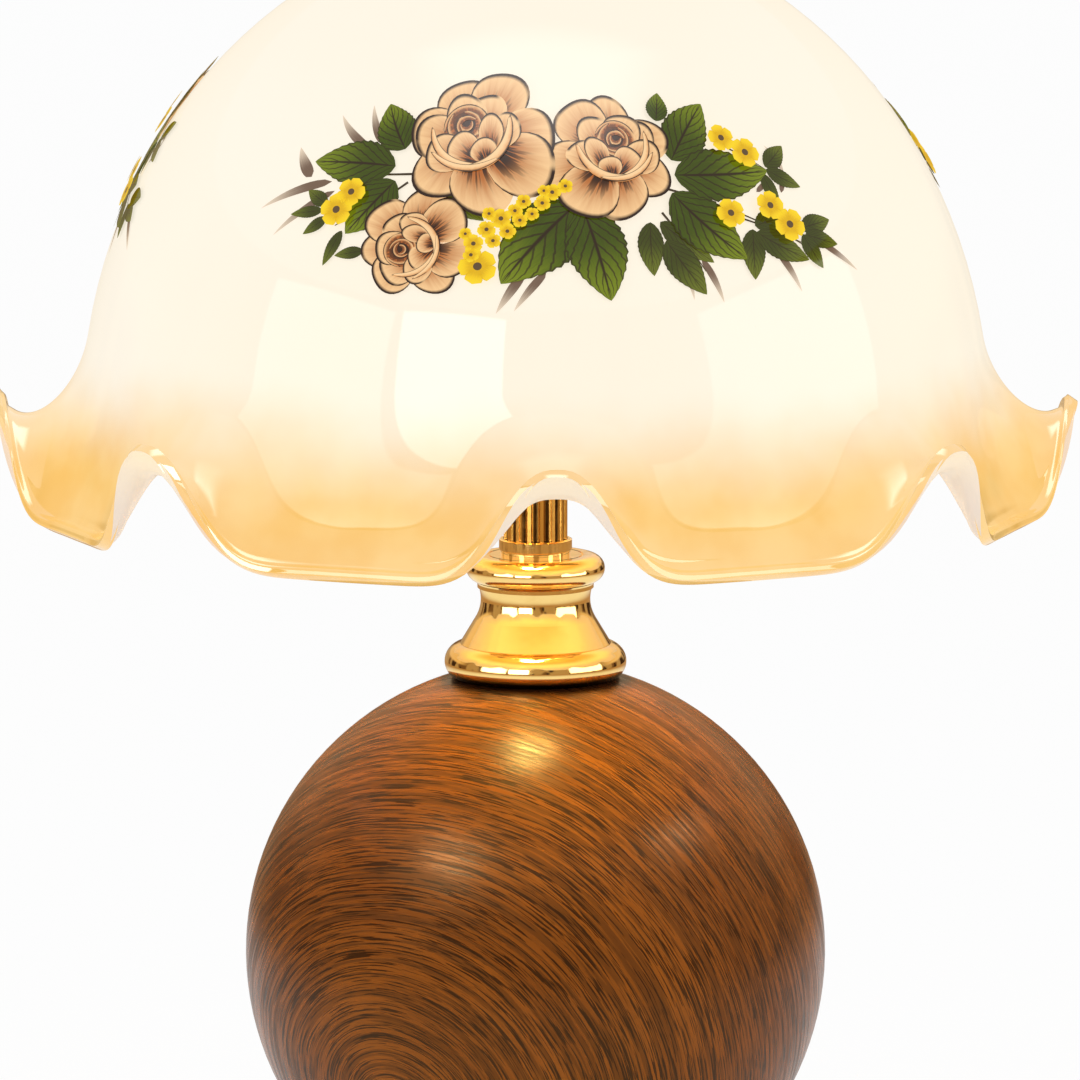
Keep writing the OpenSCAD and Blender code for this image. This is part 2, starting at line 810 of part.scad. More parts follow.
// A point on the wire's skin at station k of its route
function wire_point(k, i) =
    let (p = wire_route[k], turn = 360 * i / wire_sides, side = wire_d / 2 * cos(turn))
    [p[0] + side * cos(p[2]), wire_d / 2 * sin(turn), p[1] - side * sin(p[2])];

// The bent wire, swept along its route with both ends closed
module bent_wire() {
    stations = len(wire_route);
    points = [for (k = [0 : stations - 1]) for (i = [0 : wire_sides - 1]) wire_point(k, i)];
    walls = [
        for (k = [0 : stations - 2])
            for (i = [0 : wire_sides - 1])
                let (low = k * wire_sides, high = low + wire_sides, j = (i + 1) % wire_sides)
                each [[low + i, high + j, low + j], [low + i, high + i, high + j]]
    ];
    ends = [
        [for (i = [0 : wire_sides - 1]) i],
        [for (i = [0 : wire_sides - 1]) stations * wire_sides - 1 - i]
    ];
    polyhedron(points = points, faces = concat(walls, ends));
}

module harp_wire() {
    color("#c79a45")
        difference() {
            union() {
                bent_wire();
                translate([0, 0, bar_z - boss_h / 2]) cylinder(d = boss_d, h = boss_h);
            }
            translate([0, 0, bar_z - boss_h]) cylinder(d = shank_d + 2 * slip, h = 2 * boss_h);
        }
}

module ferrule(x) {
    translate([x, 0, saddle_top + slip])
        difference() {
            union() {
                cylinder(d = ferrule_d - 1, h = ferrule_l);
                rounded_ring(ferrule_d, 3, 1);
                translate([0, 0, ferrule_l - 3]) rounded_ring(ferrule_d, 3, 1);
            }
            translate([0, 0, -1]) cylinder(d = tube_d + 2 * slip, h = ferrule_l + 2);
        }
}

module ferrule_left() {
    color("#d9a441") ferrule(-leg_x);
}

module ferrule_right() {
    color("#d9a441") ferrule(leg_x);
}

module swivel_post() {
    color("#c79a45")
        union() {
            translate([0, 0, harp_top - boss_h - slip - rivet_t]) cylinder(d = rivet_d, h = rivet_t);
            translate([0, 0, harp_top - boss_h - slip - eps]) cylinder(d = shank_d, h = boss_h + 1);
            translate([0, 0, harp_top]) cylinder(d = shoulder_d, h = shoulder_t);
            translate([0, 0, harp_top + shoulder_t - eps])
                cylinder(d = post_d, h = post_top - harp_top - shoulder_t);
        }
}

module shade_seat() {
    color("#d9a441")
        translate([0, 0, shade_seat_z])
            difference() {
                rounded_ring(shade_seat_d, shade_seat_t, shade_seat_t / 2);
                translate([0, 0, -1]) cylinder(d = post_d + 2 * thread_gap, h = shade_seat_t + 2);
            }
}

// A rubber washer for the crown of the glass
module gasket() {
    difference() {
        cylinder(d = shade_seat_d - 3, h = gasket_t - slip / 2);
        translate([0, 0, -1]) cylinder(d = post_d + 2 * thread_gap, h = gasket_t + 2);
    }
}

module lower_gasket() {
    color("#e8e2d4") translate([0, 0, lower_gasket_z]) gasket();
}

module upper_gasket() {
    color("#e8e2d4") translate([0, 0, crown_top + slip / 2]) gasket();
}

module shade_glass() {
    points = [
        for (k = [0 : ring_count - 1])
            for (i = [0 : round_steps - 1])
                wall_point(k, 360 * i / round_steps)
    ];
    faces = [
        for (k = [0 : ring_count - 1])
            for (i = [0 : round_steps - 1])
                let (
                    above = k * round_steps,
                    below = ((k + 1) % ring_count) * round_steps,
                    j = (i + 1) % round_steps
                )
                each [[above + i, above + j, below + j], [above + i, below + j, below + i]]
    ];
    color("#fdf1d9") polyhedron(points = points, faces = faces);
}

module top_cap() {
    rim_r = 2;
    boss = finial_base_d + 3;
    color("#d9a441")
        translate([0, 0, cap_z])
            difference() {
                rotate_extrude() {
                    square([cap_d / 2 - rim_r, 2 * rim_r]);
                    translate([cap_d / 2 - rim_r, rim_r]) circle(r = rim_r);
                    difference() {
                        square([cap_d / 2 - rim_r - 2, cap_h]);
                        translate([cap_d / 2 - rim_r - 2, cap_h]) circle(r = cap_h - 2 * rim_r);
                        translate([boss / 2, cap_h - 2]) square([cap_d, cap_d]);
                    }
                }
                translate([0, 0, -1]) cylinder(d = post_d + 2 * thread_gap, h = cap_h + 2);
            }
}

module finial() {
    tip_r = 2.2;
    ball = finial_ball_d / 2;
    ball_up = finial_h - 1.6 * tip_r - ball;
    color("#d9a441")
        translate([0, 0, finial_z])
            difference() {
                union() {
                    rounded_ring(finial_base_d, 3, 1.5);
                    cylinder(d = finial_base_d - 5, h = ball_up);
                    translate([0, 0, ball_up]) sphere(r = ball);
                    translate([0, 0, finial_h - tip_r]) sphere(r = tip_r);
                }
                translate([0, 0, -1]) cylinder(d = post_d + 2 * thread_gap, h = post_top - finial_z + 1.5);
            }
}

rubber_feet();
base_cover();
cover_screws();
ballast();
foot_ring();
cord_bushing();
bottom_nut();
bottom_washer();
wood_ball();
bell_cap();
neck_ring();
stem_collar();
fluted_stem();
stem_cap();
threaded_rod();
harp_saddle();
socket_cap();
socket_shell();
socket_liner();
socket_core();
terminal_screws();
screw_shell();
switch_shaft();
switch_key();
bulb_tip();
bulb_base();
bulb_globe();
harp_wire();
ferrule_left();
ferrule_right();
swivel_post();
shade_seat();
lower_gasket();
shade_glass();
upper_gasket();
top_cap();
finial();
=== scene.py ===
"""Table lamp with a wooden ball, a brass neck and a ruffled opal glass shade, lit."""

import json
import math
import random

import bmesh
import bpy
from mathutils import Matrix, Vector


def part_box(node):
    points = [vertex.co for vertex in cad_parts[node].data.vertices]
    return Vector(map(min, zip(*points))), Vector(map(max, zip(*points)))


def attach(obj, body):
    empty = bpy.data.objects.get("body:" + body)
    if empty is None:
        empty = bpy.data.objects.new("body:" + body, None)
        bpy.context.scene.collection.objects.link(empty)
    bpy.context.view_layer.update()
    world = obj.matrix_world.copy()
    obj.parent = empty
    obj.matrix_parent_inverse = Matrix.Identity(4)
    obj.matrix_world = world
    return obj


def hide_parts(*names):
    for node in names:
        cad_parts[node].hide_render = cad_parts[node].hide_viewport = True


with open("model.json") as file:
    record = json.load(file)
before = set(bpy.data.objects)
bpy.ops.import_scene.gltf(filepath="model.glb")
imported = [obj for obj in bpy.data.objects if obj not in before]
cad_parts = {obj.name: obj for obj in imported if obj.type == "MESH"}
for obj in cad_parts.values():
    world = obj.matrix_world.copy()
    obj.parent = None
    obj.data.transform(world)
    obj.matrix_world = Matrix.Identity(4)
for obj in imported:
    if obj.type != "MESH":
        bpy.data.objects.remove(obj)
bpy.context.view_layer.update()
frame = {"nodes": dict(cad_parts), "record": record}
nodes = frame["nodes"]
MM = 0.001
WHITE = (1, 1, 1, 1)
BLACK = (0, 0, 0, 1)

# The ruffled shade's sizes in metres. Lip and lobe heights are measured from the dome's centre, and
# the bead's and the dish's places run from 0 to 1 down the skirt
CROWN_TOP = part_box("shade_glass")[1][2]
SHADE = {
    "Crown top": CROWN_TOP,
    "Crown radius": 23 * MM,
    "Hole radius": 6.5 * MM,
    "Dome radius": 146 * MM,
    "Dome rise": 161 * MM,
    "Ruffle start": 28 * MM,
    "Start pull": 20 * MM,
    "Lip radius": 172.2 * MM,
    "Lip reach": 166 * MM,
    "Lip dip": 7.5 * MM,
    "Lip rise": 8.5 * MM,
    "Lobe radius": 161 * MM,
    "Lobe reach": 150 * MM,
    "Lobe dip": 17 * MM,
    "Lobe drop": 28.5 * MM,
    "Ruffles": 8.0,
    "Notch angle": math.radians(2.2),
    "Notch spread": math.radians(1.65),
    "Notch power": 4.6,
    "Notch round": 1.35,
    "Flare power": 1.3,
    "Bead height": 0.8 * MM,
    "Bead place": 0.957,
    "Bead width": 0.028,
    "Dish depth": 0.35 * MM,
    "Dish place": 0.885,
    "Dish width": 0.032,
    "Rim sway": 1.8 * MM,
}
GLASS_THICKNESS = 3.5 * MM
DOME_CENTRE = CROWN_TOP - SHADE["Dome rise"] * math.sqrt(
    1 - (SHADE["Crown radius"] / SHADE["Dome radius"]) ** 2)
SHADE_ROUNDS = 481
SHADE_RINGS = 81
CROWN_RINGS = 3
DOME_RINGS = 28
# The skirt's rings lie closer together towards the hem
RING_CROWDING = 1.5
WELD_DISTANCE = 1e-5
RIM_ROUNDING = 1.3 * MM
RIM_ANGLE = math.radians(60)


def rgb(red, green, blue):
    """A screen colour out of 255 as linear red, green, blue and alpha."""
    def linear(value):
        value /= 255
        return value / 12.92 if value <= 0.04045 else ((value + 0.055) / 1.055) ** 2.4
    return (linear(red), linear(green), linear(blue), 1.0)


# Node trees

def operator(operation, *fixed):
    """A method of Field that adds one Math node."""
    return lambda field, *others: field.op(operation, *fixed, *others)


class Field:
    """A number worked out by Math nodes in a node tree; the usual operators add nodes."""

    def __init__(self, tree, socket):
        self.tree = tree
        self.socket = socket

    def op(self, operation, *others):
        node = self.tree.nodes.new("ShaderNodeMath")
        node.operation = operation
        for slot, value in zip(node.inputs, (self, *others)):
            plug(self.tree, slot, value)
        return Field(self.tree, node.outputs[0])

    __add__ = __radd__ = operator("ADD")
    __sub__ = operator("SUBTRACT")
    __rsub__ = operator("MULTIPLY_ADD", -1.0)
    __mul__ = __rmul__ = operator("MULTIPLY")
    __truediv__ = operator("DIVIDE")
    __pow__ = operator("POWER")
    sin = operator("SINE")
    cos = operator("COSINE")
    sqrt = operator("SQRT")
    abs = operator("ABSOLUTE")
    max = operator("MAXIMUM")

    def clamped(self):
        result = self.op("ADD", 0.0)
        result.socket.node.use_clamp = True
        return result

    def ramp(self, low, high):
        """0 at low, 1 at high, with an easy start and end."""
        node = self.tree.nodes.new("ShaderNodeMapRange")
        node.interpolation_type = "SMOOTHSTEP"
        fill(self.tree, node, Value=self, From_Min=low, From_Max=high)
        return Field(self.tree, node.outputs[0])


def plug(tree, slot, value):
    """Links a field, a socket or a node's first output to a slot, or sets the slot's value."""
    if isinstance(value, Field):
        value = value.socket
    elif isinstance(value, bpy.types.Node):
        value = value.outputs[0]
    if isinstance(value, bpy.types.NodeSocket):
        tree.links.new(value, slot)
    else:
        slot.default_value = value


def fill(tree, node, **inputs):
    """Plugs values into a node's named inputs (spaces written as underscores)."""
    for name, value in inputs.items():
        plug(tree, node.inputs[name.replace("_", " ")], value)
    return node


def add_node(tree, kind, settings=None, **inputs):
    """Adds a node with its settings and named inputs."""
    node = tree.nodes.new(kind)
    for name, value in (settings or {}).items():
        setattr(node, name, value)
    return fill(tree, node, **inputs)


def axes(tree, vector):
    """The x, y and z of a vector."""
    node = add_node(tree, "ShaderNodeSeparateXYZ", Vector=vector)
    return [Field(tree, node.outputs[axis]) for axis in "XYZ"]


def vector_of(tree, **parts):
    return add_node(tree, "ShaderNodeCombineXYZ", **parts)


def from_axis(x, y):
    """How far a point is from the lamp's axis."""
    return (x * x + y * y).sqrt()


# Studio

CAMERA_DISTANCE = 3.2
CAMERA_ELEVATION = math.radians(7.6)
CAMERA_PIVOT_Z = 0.300
METRES_PER_PIXEL = 0.3217 * MM
IMAGE_SIDE = 1080
AIM_POINT = Vector((1.45 * MM, 0, 0.2325))
SENSOR_WIDTH = 36
CLIP_END = 50
WORLD_FILL = 0.55
FLOOR_SIDE = 30
FLOOR_GLOW = 0.96
# In reflections the white paper ends a little way round the lamp, and a room begins
PAPER_END = (0.45, 1.1)
BEYOND_PAPER = rgb(186, 148, 104)
STUDIO_CENTRE = Vector((0, 0, 0.3))
SOFTBOX_DISTANCE = 1.25
# Each soft light: name, bearing, elevation, width, height, its light on surfaces, its shine in
# reflections and how soft its edge is. The ball is lacquered more softly than the rest, so a shine
# may leave it out (EXCLUDE) or be for it alone (INCLUDE)
SOFTBOXES = (
    ("softbox_left", -55, 8, 0.80, 0.75, 1.65, 3.8, 0.02, "EXCLUDE"),
    ("softbox_near_left", -21, 8, 0.58, 0.75, 0.2, 9, 0.02, "EXCLUDE"),
    ("softbox_right", 68, 8, 1.15, 0.75, 1.55, 3.2, 0.02, "EXCLUDE"),
    ("softbox_top", 0, 78, 1.3, 1.1, 0.3, 4.5, 0.3, None),
    ("high_left", -43, 36, 0.55, 0.4, 0.1, 18, 0.2, "INCLUDE"),
    ("high_right", 80, 40, 0.55, 0.4, 0.1, 15, 0.2, "INCLUDE"),
)
GLOW_WIDTH = 38 * MM
GLOW_PLACE = Vector((-6 * MM, -40 * MM, DOME_CENTRE + 40 * MM))
GLOW_TARGET = Vector((0, -40 * MM, 0.15))
GLOW_COLOUR = (1, 0.98, 0.42)
GLOW_RADIANCE = 70
ROOM_RADIUS = 1.45
ROOM_LOW = 0.02
ROOM_HIGH = 1.0
ROOM_STEPS = 48


def new_object(name, data):
    thing = bpy.data.objects.new(name, data)
    bpy.context.collection.objects.link(thing)
    return thing


def aim(thing, point, axis="-Z"):
    """Turns a thing's axis to a point."""
    thing.rotation_euler = (point - thing.location).to_track_quat(axis, "Y").to_euler()


def build_camera():
    data = bpy.data.cameras.new("photo_camera")
    data.sensor_width = SENSOR_WIDTH
    focal_pixels = CAMERA_DISTANCE / METRES_PER_PIXEL
    data.lens = SENSOR_WIDTH * focal_pixels / IMAGE_SIDE
    data.clip_end = CLIP_END
    camera = new_object("photo_camera", data)
    camera.location = (
        0,
        -CAMERA_DISTANCE * math.cos(CAMERA_ELEVATION),
        CAMERA_PIVOT_Z + CAMERA_DISTANCE * math.sin(CAMERA_ELEVATION),
    )
    aim(camera, AIM_POINT)
    bpy.context.scene.camera = camera


def ray_is(tree, kind):
    return Field(tree, tree.nodes.new("ShaderNodeLightPath").outputs["Is " + kind + " Ray"])


def seen_directly(tree):
    """1 for what the camera sees, also by reflection or through glass."""
    return ray_is(tree, "Camera").max(ray_is(tree, "Glossy")).max(ray_is(tree, "Transmission"))


def build_world():
    """White to the camera, and dimmer as a light on the lamp."""
    world = bpy.data.worlds.new("white_studio")
    bpy.context.scene.world = world
    world.use_nodes = True
    tree = world.node_tree
    fill(tree, tree.nodes["Background"], Color=WHITE,
         Strength=seen_directly(tree) * (1 - WORLD_FILL) + WORLD_FILL)


def mixed_shader(tree, share, first, second):
    node = tree.nodes.new("ShaderNodeMixShader")
    for slot, value in zip(node.inputs, (share, first, second)):
        plug(tree, slot, value)
    return node


def show(tree, shader):
    """Makes a shader the surface of its material."""
    fill(tree, tree.nodes["Material Output"], Surface=shader)


def build_floor():
    """A floor that is white to the camera, and clear from below so that the underside shows."""
    bpy.ops.mesh.primitive_plane_add(size=FLOOR_SIDE, location=(0, 0, 0))
    floor = bpy.context.object
    floor.name = "studio_floor"
    material, tree, _ = new_material("pale_floor")
    x, y, _ = axes(tree, object_place(tree))
    beyond = from_axis(x, y).ramp(*PAPER_END) * ray_is(tree, "Glossy")
    white = add_node(tree, "ShaderNodeEmission", Strength=1.0,
                     Color=mixed(tree, beyond, WHITE, BEYOND_PAPER))
    diffuse = add_node(tree, "ShaderNodeBsdfDiffuse", Color=(0.86, 0.86, 0.86, 1))
    paper = mixed_shader(tree, seen_directly(tree) * FLOOR_GLOW, diffuse, white)
    from_below = tree.nodes.new("ShaderNodeNewGeometry").outputs["Backfacing"]
    clear = tree.nodes.new("ShaderNodeBsdfTransparent")
    show(tree, mixed_shader(tree, from_below, paper, clear))
    floor.data.materials.append(material)


def face_lamp(thing, bearing, elevation):
    """Sets a light or card at a bearing to the right and an elevation, facing the lamp."""
    bearing, elevation = math.radians(bearing), math.radians(elevation)
    thing.location = STUDIO_CENTRE + SOFTBOX_DISTANCE * Vector((
        math.sin(bearing) * math.cos(elevation),
        -math.cos(bearing) * math.cos(elevation),
        math.sin(elevation),
    ))
    aim(thing, STUDIO_CENTRE, "Z" if thing.type == "MESH" else "-Z")


def only_in_reflections(thing):
    for ray in ("camera", "diffuse", "transmission", "volume_scatter", "shadow"):
        setattr(thing, "visible_" + ray, False)


def build_softbox(name, bearing, elevation, width, height, light_level, shine, soft, ball):
    """A soft light for lit surfaces, and a brighter card in its place for reflections."""
    data = bpy.data.lights.new(name, "AREA")
    data.shape = "RECTANGLE"
    data.size = width
    data.size_y = height
    data.energy = light_level * math.pi * width * height
    light = new_object(name, data)
    light.visible_glossy = False
    face_lamp(light, bearing, elevation)

    bpy.ops.mesh.primitive_plane_add(size=1)
    card = bpy.context.object
    card.name = name + "_card"
    card.scale = (width, height, 1)
    material, tree, _ = new_material(card.name)
    x, y, _ = axes(tree, object_place(tree))
    half_side = 0.5
    inside = x.abs().max(y.abs()).ramp(half_side, half_side - soft)
    glow = add_node(tree, "ShaderNodeEmission", Color=WHITE, Strength=inside * shine)
    # What a card leaves out sees through it
    both = tree.nodes.new("ShaderNodeAddShader")
    plug(tree, both.inputs[0], glow)
    plug(tree, both.inputs[1], tree.nodes.new("ShaderNodeBsdfTransparent"))
    show(tree, both)
    card.data.materials.append(material)
    face_lamp(card, bearing, elevation)
    only_in_reflections(card)
    if ball:
        mirrors = bpy.data.collections.new(card.name + "_mirrors")
        mirrors.objects.link(nodes["wood_ball"])
        mirrors.collection_objects[0].light_linking.link_state = ball
        card.light_linking.receiver_collection = mirrors


def build_lamp_glow():
    """The lamp's own warm light on the top of the ball, from below the bulb."""
    data = bpy.data.lights.new("lamp_glow", "AREA")
    data.shape = "DISK"
    data.size = GLOW_WIDTH
    data.color = GLOW_COLOUR
    data.energy = GLOW_RADIANCE * math.pi ** 2 * GLOW_WIDTH ** 2 / 4
    light = new_object("lamp_glow", data)
    light.location = GLOW_PLACE
    aim(light, GLOW_TARGET)
    light.visible_camera = False


def build_room_screen():
    """A screen round the studio in the tones of a room, which only reflections see."""
    bearings = [2 * math.pi * i / ROOM_STEPS for i in range(ROOM_STEPS + 1)]
    shape = bmesh.new()
    low, high = (
        [shape.verts.new((ROOM_RADIUS * math.sin(b), -ROOM_RADIUS * math.cos(b), height))
         for b in bearings] for height in (ROOM_LOW, ROOM_HIGH))
    for i in range(ROOM_STEPS):
        shape.faces.new((low[i], high[i], high[i + 1], low[i + 1]))
    mesh = bpy.data.meshes.new("room_screen")
    shape.to_mesh(mesh)
    shape.free()
    screen = new_object("room_screen", mesh)
    material, tree, _ = new_material("room_screen")
    x, y, z = axes(tree, object_place(tree))
    upright = vector_of(tree, X=x, Y=y, Z=z * 0.2)
    walls = noise(tree, upright, 2.1, 1).ramp(0.44, 0.5)
    things = noise(tree, upright, 3.7, 1).ramp(0.56, 0.6)
    high_at_back = z.ramp(0.32, 0.48) * y.ramp(0.0, 0.7)
    room = mixed(tree, walls, rgb(120, 90, 62), rgb(186, 160, 126))
    room = mixed(tree, things, room, rgb(60, 42, 30))
    room = mixed(tree, high_at_back, room, rgb(246, 214, 168))
    show(tree, add_node(tree, "ShaderNodeEmission", Color=room, Strength=1.0))
    mesh.materials.append(material)
    only_in_reflections(screen)


# Finishes

# Where a Mix node keeps its share, its two colours and the colour that comes out
MIX_INPUTS = (0, 6, 7)
MIX_OUTPUT = 2


def new_material(name, **constants):
    """A material with a Principled shader whose named inputs hold plain values."""
    material = bpy.data.materials.new(name)
    material.use_nodes = True
    tree = material.node_tree
    return material, tree, fill(tree, tree.nodes["Principled BSDF"], **constants)


def object_place(tree):
    return tree.nodes.new("ShaderNodeTexCoord").outputs["Object"]


def attribute(tree, name, output):
    """What the mesh keeps under a name for each point, in a material."""
    return add_node(tree, "ShaderNodeAttribute", {"attribute_name": name}).outputs[output]


def noise(tree, place, scale, detail=2, roughness=0.5):
    node = add_node(tree, "ShaderNodeTexNoise", Vector=place, Scale=scale, Detail=detail,
                    Roughness=roughness)
    return Field(tree, node.outputs["Fac"])


def mixed(tree, share, first, second):
    """One colour turning into another by a share from 0 to 1."""
    node = add_node(tree, "ShaderNodeMix", {"data_type": "RGBA"})
    for slot, value in zip(MIX_INPUTS, (share, first, second)):
        plug(tree, node.inputs[slot], value)
    return node.outputs[MIX_OUTPUT]


def bumped(tree, height, strength, distance):
    node = add_node(tree, "ShaderNodeBump", Height=height, Strength=strength, Distance=distance)
    return node.outputs["Normal"]


def effect_group(name, numbers, build):
    """A shader group with a place and named numbers in, and the fields that build returns out."""
    group = bpy.data.node_groups.new(name, "ShaderNodeTree")
    group.interface.new_socket("Place", in_out="INPUT", socket_type="NodeSocketVector")
    for key in numbers:
        group.interface.new_socket(key, in_out="INPUT", socket_type="NodeSocketFloat")
    inlet = group.nodes.new("NodeGroupInput").outputs
    fields = build(group, inlet["Place"], *(Field(group, inlet[key]) for key in numbers))
    outlet = group.nodes.new("NodeGroupOutput")
    for key, field in fields.items():
        group.interface.new_socket(key, in_out="OUTPUT", socket_type="NodeSocketFloat")
        plug(group, outlet.inputs[key], field)
    return group


def effect(tree, group, **numbers):
    """Places a group in a material, with its own numbers; its outputs as fields by name."""
    node = add_node(
        tree, "ShaderNodeGroup", {"node_tree": group}, Place=object_place(tree), **numbers)
    return {socket.name: Field(tree, socket) for socket in node.outputs}


def wear_fields(tree, place, scale, start, end):
    return {"Wear": noise(tree, place, scale, 4, 0.6).ramp(start, end),
            "Smear": noise(tree, place, 220, 3, 0.6)}


def moulding_fields(tree, place, grain):
    return {"Cloud": noise(tree, place, 90, 4, 0.6), "Grain": noise(tree, place, grain, 3, 0.6)}


AMBER_STARTS, AMBER_FULL = DOME_CENTRE + 30 * MM, DOME_CENTRE - 16 * MM
CROWN_STARTS, CROWN_FULL = DOME_CENTRE + 35 * MM, DOME_CENTRE + 100 * MM
AMBER_MOTTLE = 22 * MM


def amber_and_inside_glow_fields(tree, place, mottle):
    """The hem's amber, from the cream dome down to the lobes, and the crown, where the painted glow
    inside the shade is dimmer.
    """
    height = axes(tree, place)[2]
    cloud = noise(tree, place, 22, 3, 0.55) - 0.5
    return {"Amber": (height + cloud * mottle).ramp(AMBER_STARTS, AMBER_FULL),
            "Crown": height.ramp(CROWN_STARTS, CROWN_FULL)}


METAL_WEAR = effect_group("metal_wear", ("Scale", "Start", "End"), wear_fields)
MOULDED_GRAIN = effect_group("moulded_grain", ("Grain scale",), moulding_fields)
AMBER_HEM_AND_INSIDE_GLOW = effect_group("amber_hem_and_inside_glow", ("Mottle",), amber_and_inside_glow_fields)
BRASS_WEAR = {"Scale": 60, "Start": 0.45, "End": 0.75}


def polished_brass(name="polished_brass", seat=None):
    """Polished brass; if it has a seat, painted shade makes it nearly black just above the seat,
    under its bead.
    """
    material, tree, shader = new_material(name, Metallic=1.0)
    place = object_place(tree)
    worn = effect(tree, METAL_WEAR, **BRASS_WEAR)
    colour = mixed(tree, worn["Wear"] * 0.35, rgb(252, 216, 138), rgb(236, 188, 102))
    if seat is not None:
        # Painted shade: under the bead, just above the seat, the brass is coloured nearly black
        dark = axes(tree, place)[2].ramp(seat + 2.8 * MM, seat + 1.4 * MM)
        colour = mixed(tree, dark, colour, rgb(40, 20, 8))
    fill(tree, shader, Base_Color=colour, Roughness=worn["Smear"] * 0.06 + 0.05,
         Normal=bumped(tree, noise(tree, place, 70), 0.5, 0.3 * MM))
    return material


def fluted_brass():
    """Polished brass with painted shade in the flutes: dark in the grooves, gold on the crests."""
    material, tree, shader = new_material("fluted_brass", Metallic=1.0)
    x, y, _ = axes(tree, object_place(tree))
    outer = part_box("fluted_stem")[1][0]
    crest = from_axis(x, y).ramp(outer - 0.95 * MM, outer - 0.4 * MM)
    smear = effect(tree, METAL_WEAR, **BRASS_WEAR)["Smear"]
    # Painted shade: the grooves are coloured dark brown and the crests gold
    colour = mixed(tree, crest + (smear - 0.5) * 0.3, rgb(58, 32, 10), rgb(250, 196, 100))
    fill(tree, shader, Base_Color=colour, Roughness=smear * 0.08 + 0.1)
    return material


BALL_LOW, BALL_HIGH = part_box("wood_ball")
BALL_RADIUS = (BALL_HIGH[0] - BALL_LOW[0]) / 2
BALL_CENTRE = Vector((0, 0, BALL_HIGH[2] - BALL_RADIUS))
BELL_SEAT_RADIUS = 26.7 * MM
BELL_SEAT_Z = BALL_CENTRE.z + math.sqrt(BALL_RADIUS ** 2 - BELL_SEAT_RADIUS ** 2)
# The ball is turned across the tree's axis, so the rings run round a pole at the lower front
GRAIN_POLE = Vector((-0.47, -0.79, -0.40)).normalized()
GRAIN_SWAY = 8 * MM
SEAT_SHADOW_RADIUS, SEAT_SHADOW_FADE_RADIUS = 28.5 * MM, 35 * MM


def turned_wood():
    """Wood with rings of fine dark grain, under a soft lacquer."""
    material, tree, shader = new_material(
        "turned_wood", Specular_IOR_Level=0.34, Specular_Tint=(1, 0.66, 0.3, 1))
    place = object_place(tree)
    centred = add_node(tree, "ShaderNodeVectorMath", {"operation": "SUBTRACT"})
    plug(tree, centred.inputs[0], place)
    plug(tree, centred.inputs[1], BALL_CENTRE)
    turn = GRAIN_POLE.rotation_difference(Vector((0, 0, 1))).to_euler()
    grain_place = add_node(tree, "ShaderNodeMapping", Vector=centred, Rotation=turn)
    x, y, z = axes(tree, grain_place)
    reach = add_node(tree, "ShaderNodeVectorMath", {"operation": "LENGTH"}, Vector=grain_place)
    reach = Field(tree, reach.outputs["Value"])
    sway = noise(tree, grain_place, 9)
    depth = (z / reach).op("ARCCOSINE") * reach + (sway - 0.5) * GRAIN_SWAY

    def ring_noise(stretch, squeeze, detail, roughness):
        along = vector_of(tree, X=x * stretch, Y=y * stretch, Z=depth * squeeze)
        return noise(tree, along, 1.0, detail, roughness)

    bands = ring_noise(5, 130, 3, 0.55).ramp(0.35, 0.68)
    streaks = ring_noise(16, 640, 3, 0.6).ramp(0.47, 0.56)
    pores = ring_noise(70, 2100, 2, 0.5).ramp(0.52, 0.57)
    # Painted shadow: the wood round the bell's seat is coloured nearly black, as shade under the
    # bell's bead
    own_x, own_y, _ = axes(tree, place)
    seat_shadow = from_axis(own_x, own_y).ramp(SEAT_SHADOW_FADE_RADIUS, SEAT_SHADOW_RADIUS)
    colour = mixed(tree, sway.ramp(0.35, 0.7), rgb(156, 87, 26), rgb(135, 72, 23))
    colour = mixed(tree, bands * 0.45, colour, rgb(104, 54, 18))
    colour = mixed(tree, streaks * 0.52, colour, rgb(64, 34, 12))
    colour = mixed(tree, pores * 0.88, colour, rgb(38, 20, 9))
    colour = mixed(tree, seat_shadow * 0.88, colour, rgb(20, 10, 5))
    fill(tree, shader, Base_Color=colour, Roughness=streaks * 0.1 + 0.27,
         Normal=bumped(tree, pores * -1.0 + streaks * -0.4, 0.08, 0.2 * MM))
    return material


GLOW = 0.84
LIT_FROM_FRONT = 0.24
LIT_FROM_INSIDE = 0.45


def lit_through(tree, shader, colour, studio_share):
    """The lamp behind the glass makes most of a colour's light, and the studio the rest."""
    fill(tree, shader, Base_Color=mixed(tree, studio_share, BLACK, colour), Emission_Color=colour)


def opal_outside():
    """Cream glass with an amber hem, which has more gloss on the skirt than on the dome."""
    material, tree, shader = new_material(
        "opal_glass_outside", Specular_IOR_Level=0.0, Coat_IOR=1.8, Coat_Roughness=0.03,
        Emission_Strength=GLOW)
    place = object_place(tree)
    amber = effect(tree, AMBER_HEM_AND_INSIDE_GLOW, Mottle=AMBER_MOTTLE)["Amber"]
    clouds = noise(tree, place, 5).ramp(0.3, 0.7)
    body = mixed(tree, clouds, rgb(254, 243, 222), rgb(254, 246, 230))
    spots = noise(tree, place, 30, 3, 0.55).ramp(0.35, 0.65)
    deep = mixed(tree, spots, rgb(252, 208, 128), rgb(248, 195, 104))
    hem = Field(tree, attribute(tree, "hem", "Fac"))
    rim = hem.ramp(0.89, 0.965) * 0.85
    lit_through(tree, shader, mixed(tree, amber.max(rim), body, deep), LIT_FROM_FRONT)
    fill(tree, shader, Coat_Weight=hem.ramp(0.55, 0.85) * 0.82 + 0.18,
         Normal=bumped(tree, noise(tree, place, 35, 2, 0.4), 0.04, 2 * MM))
    return material


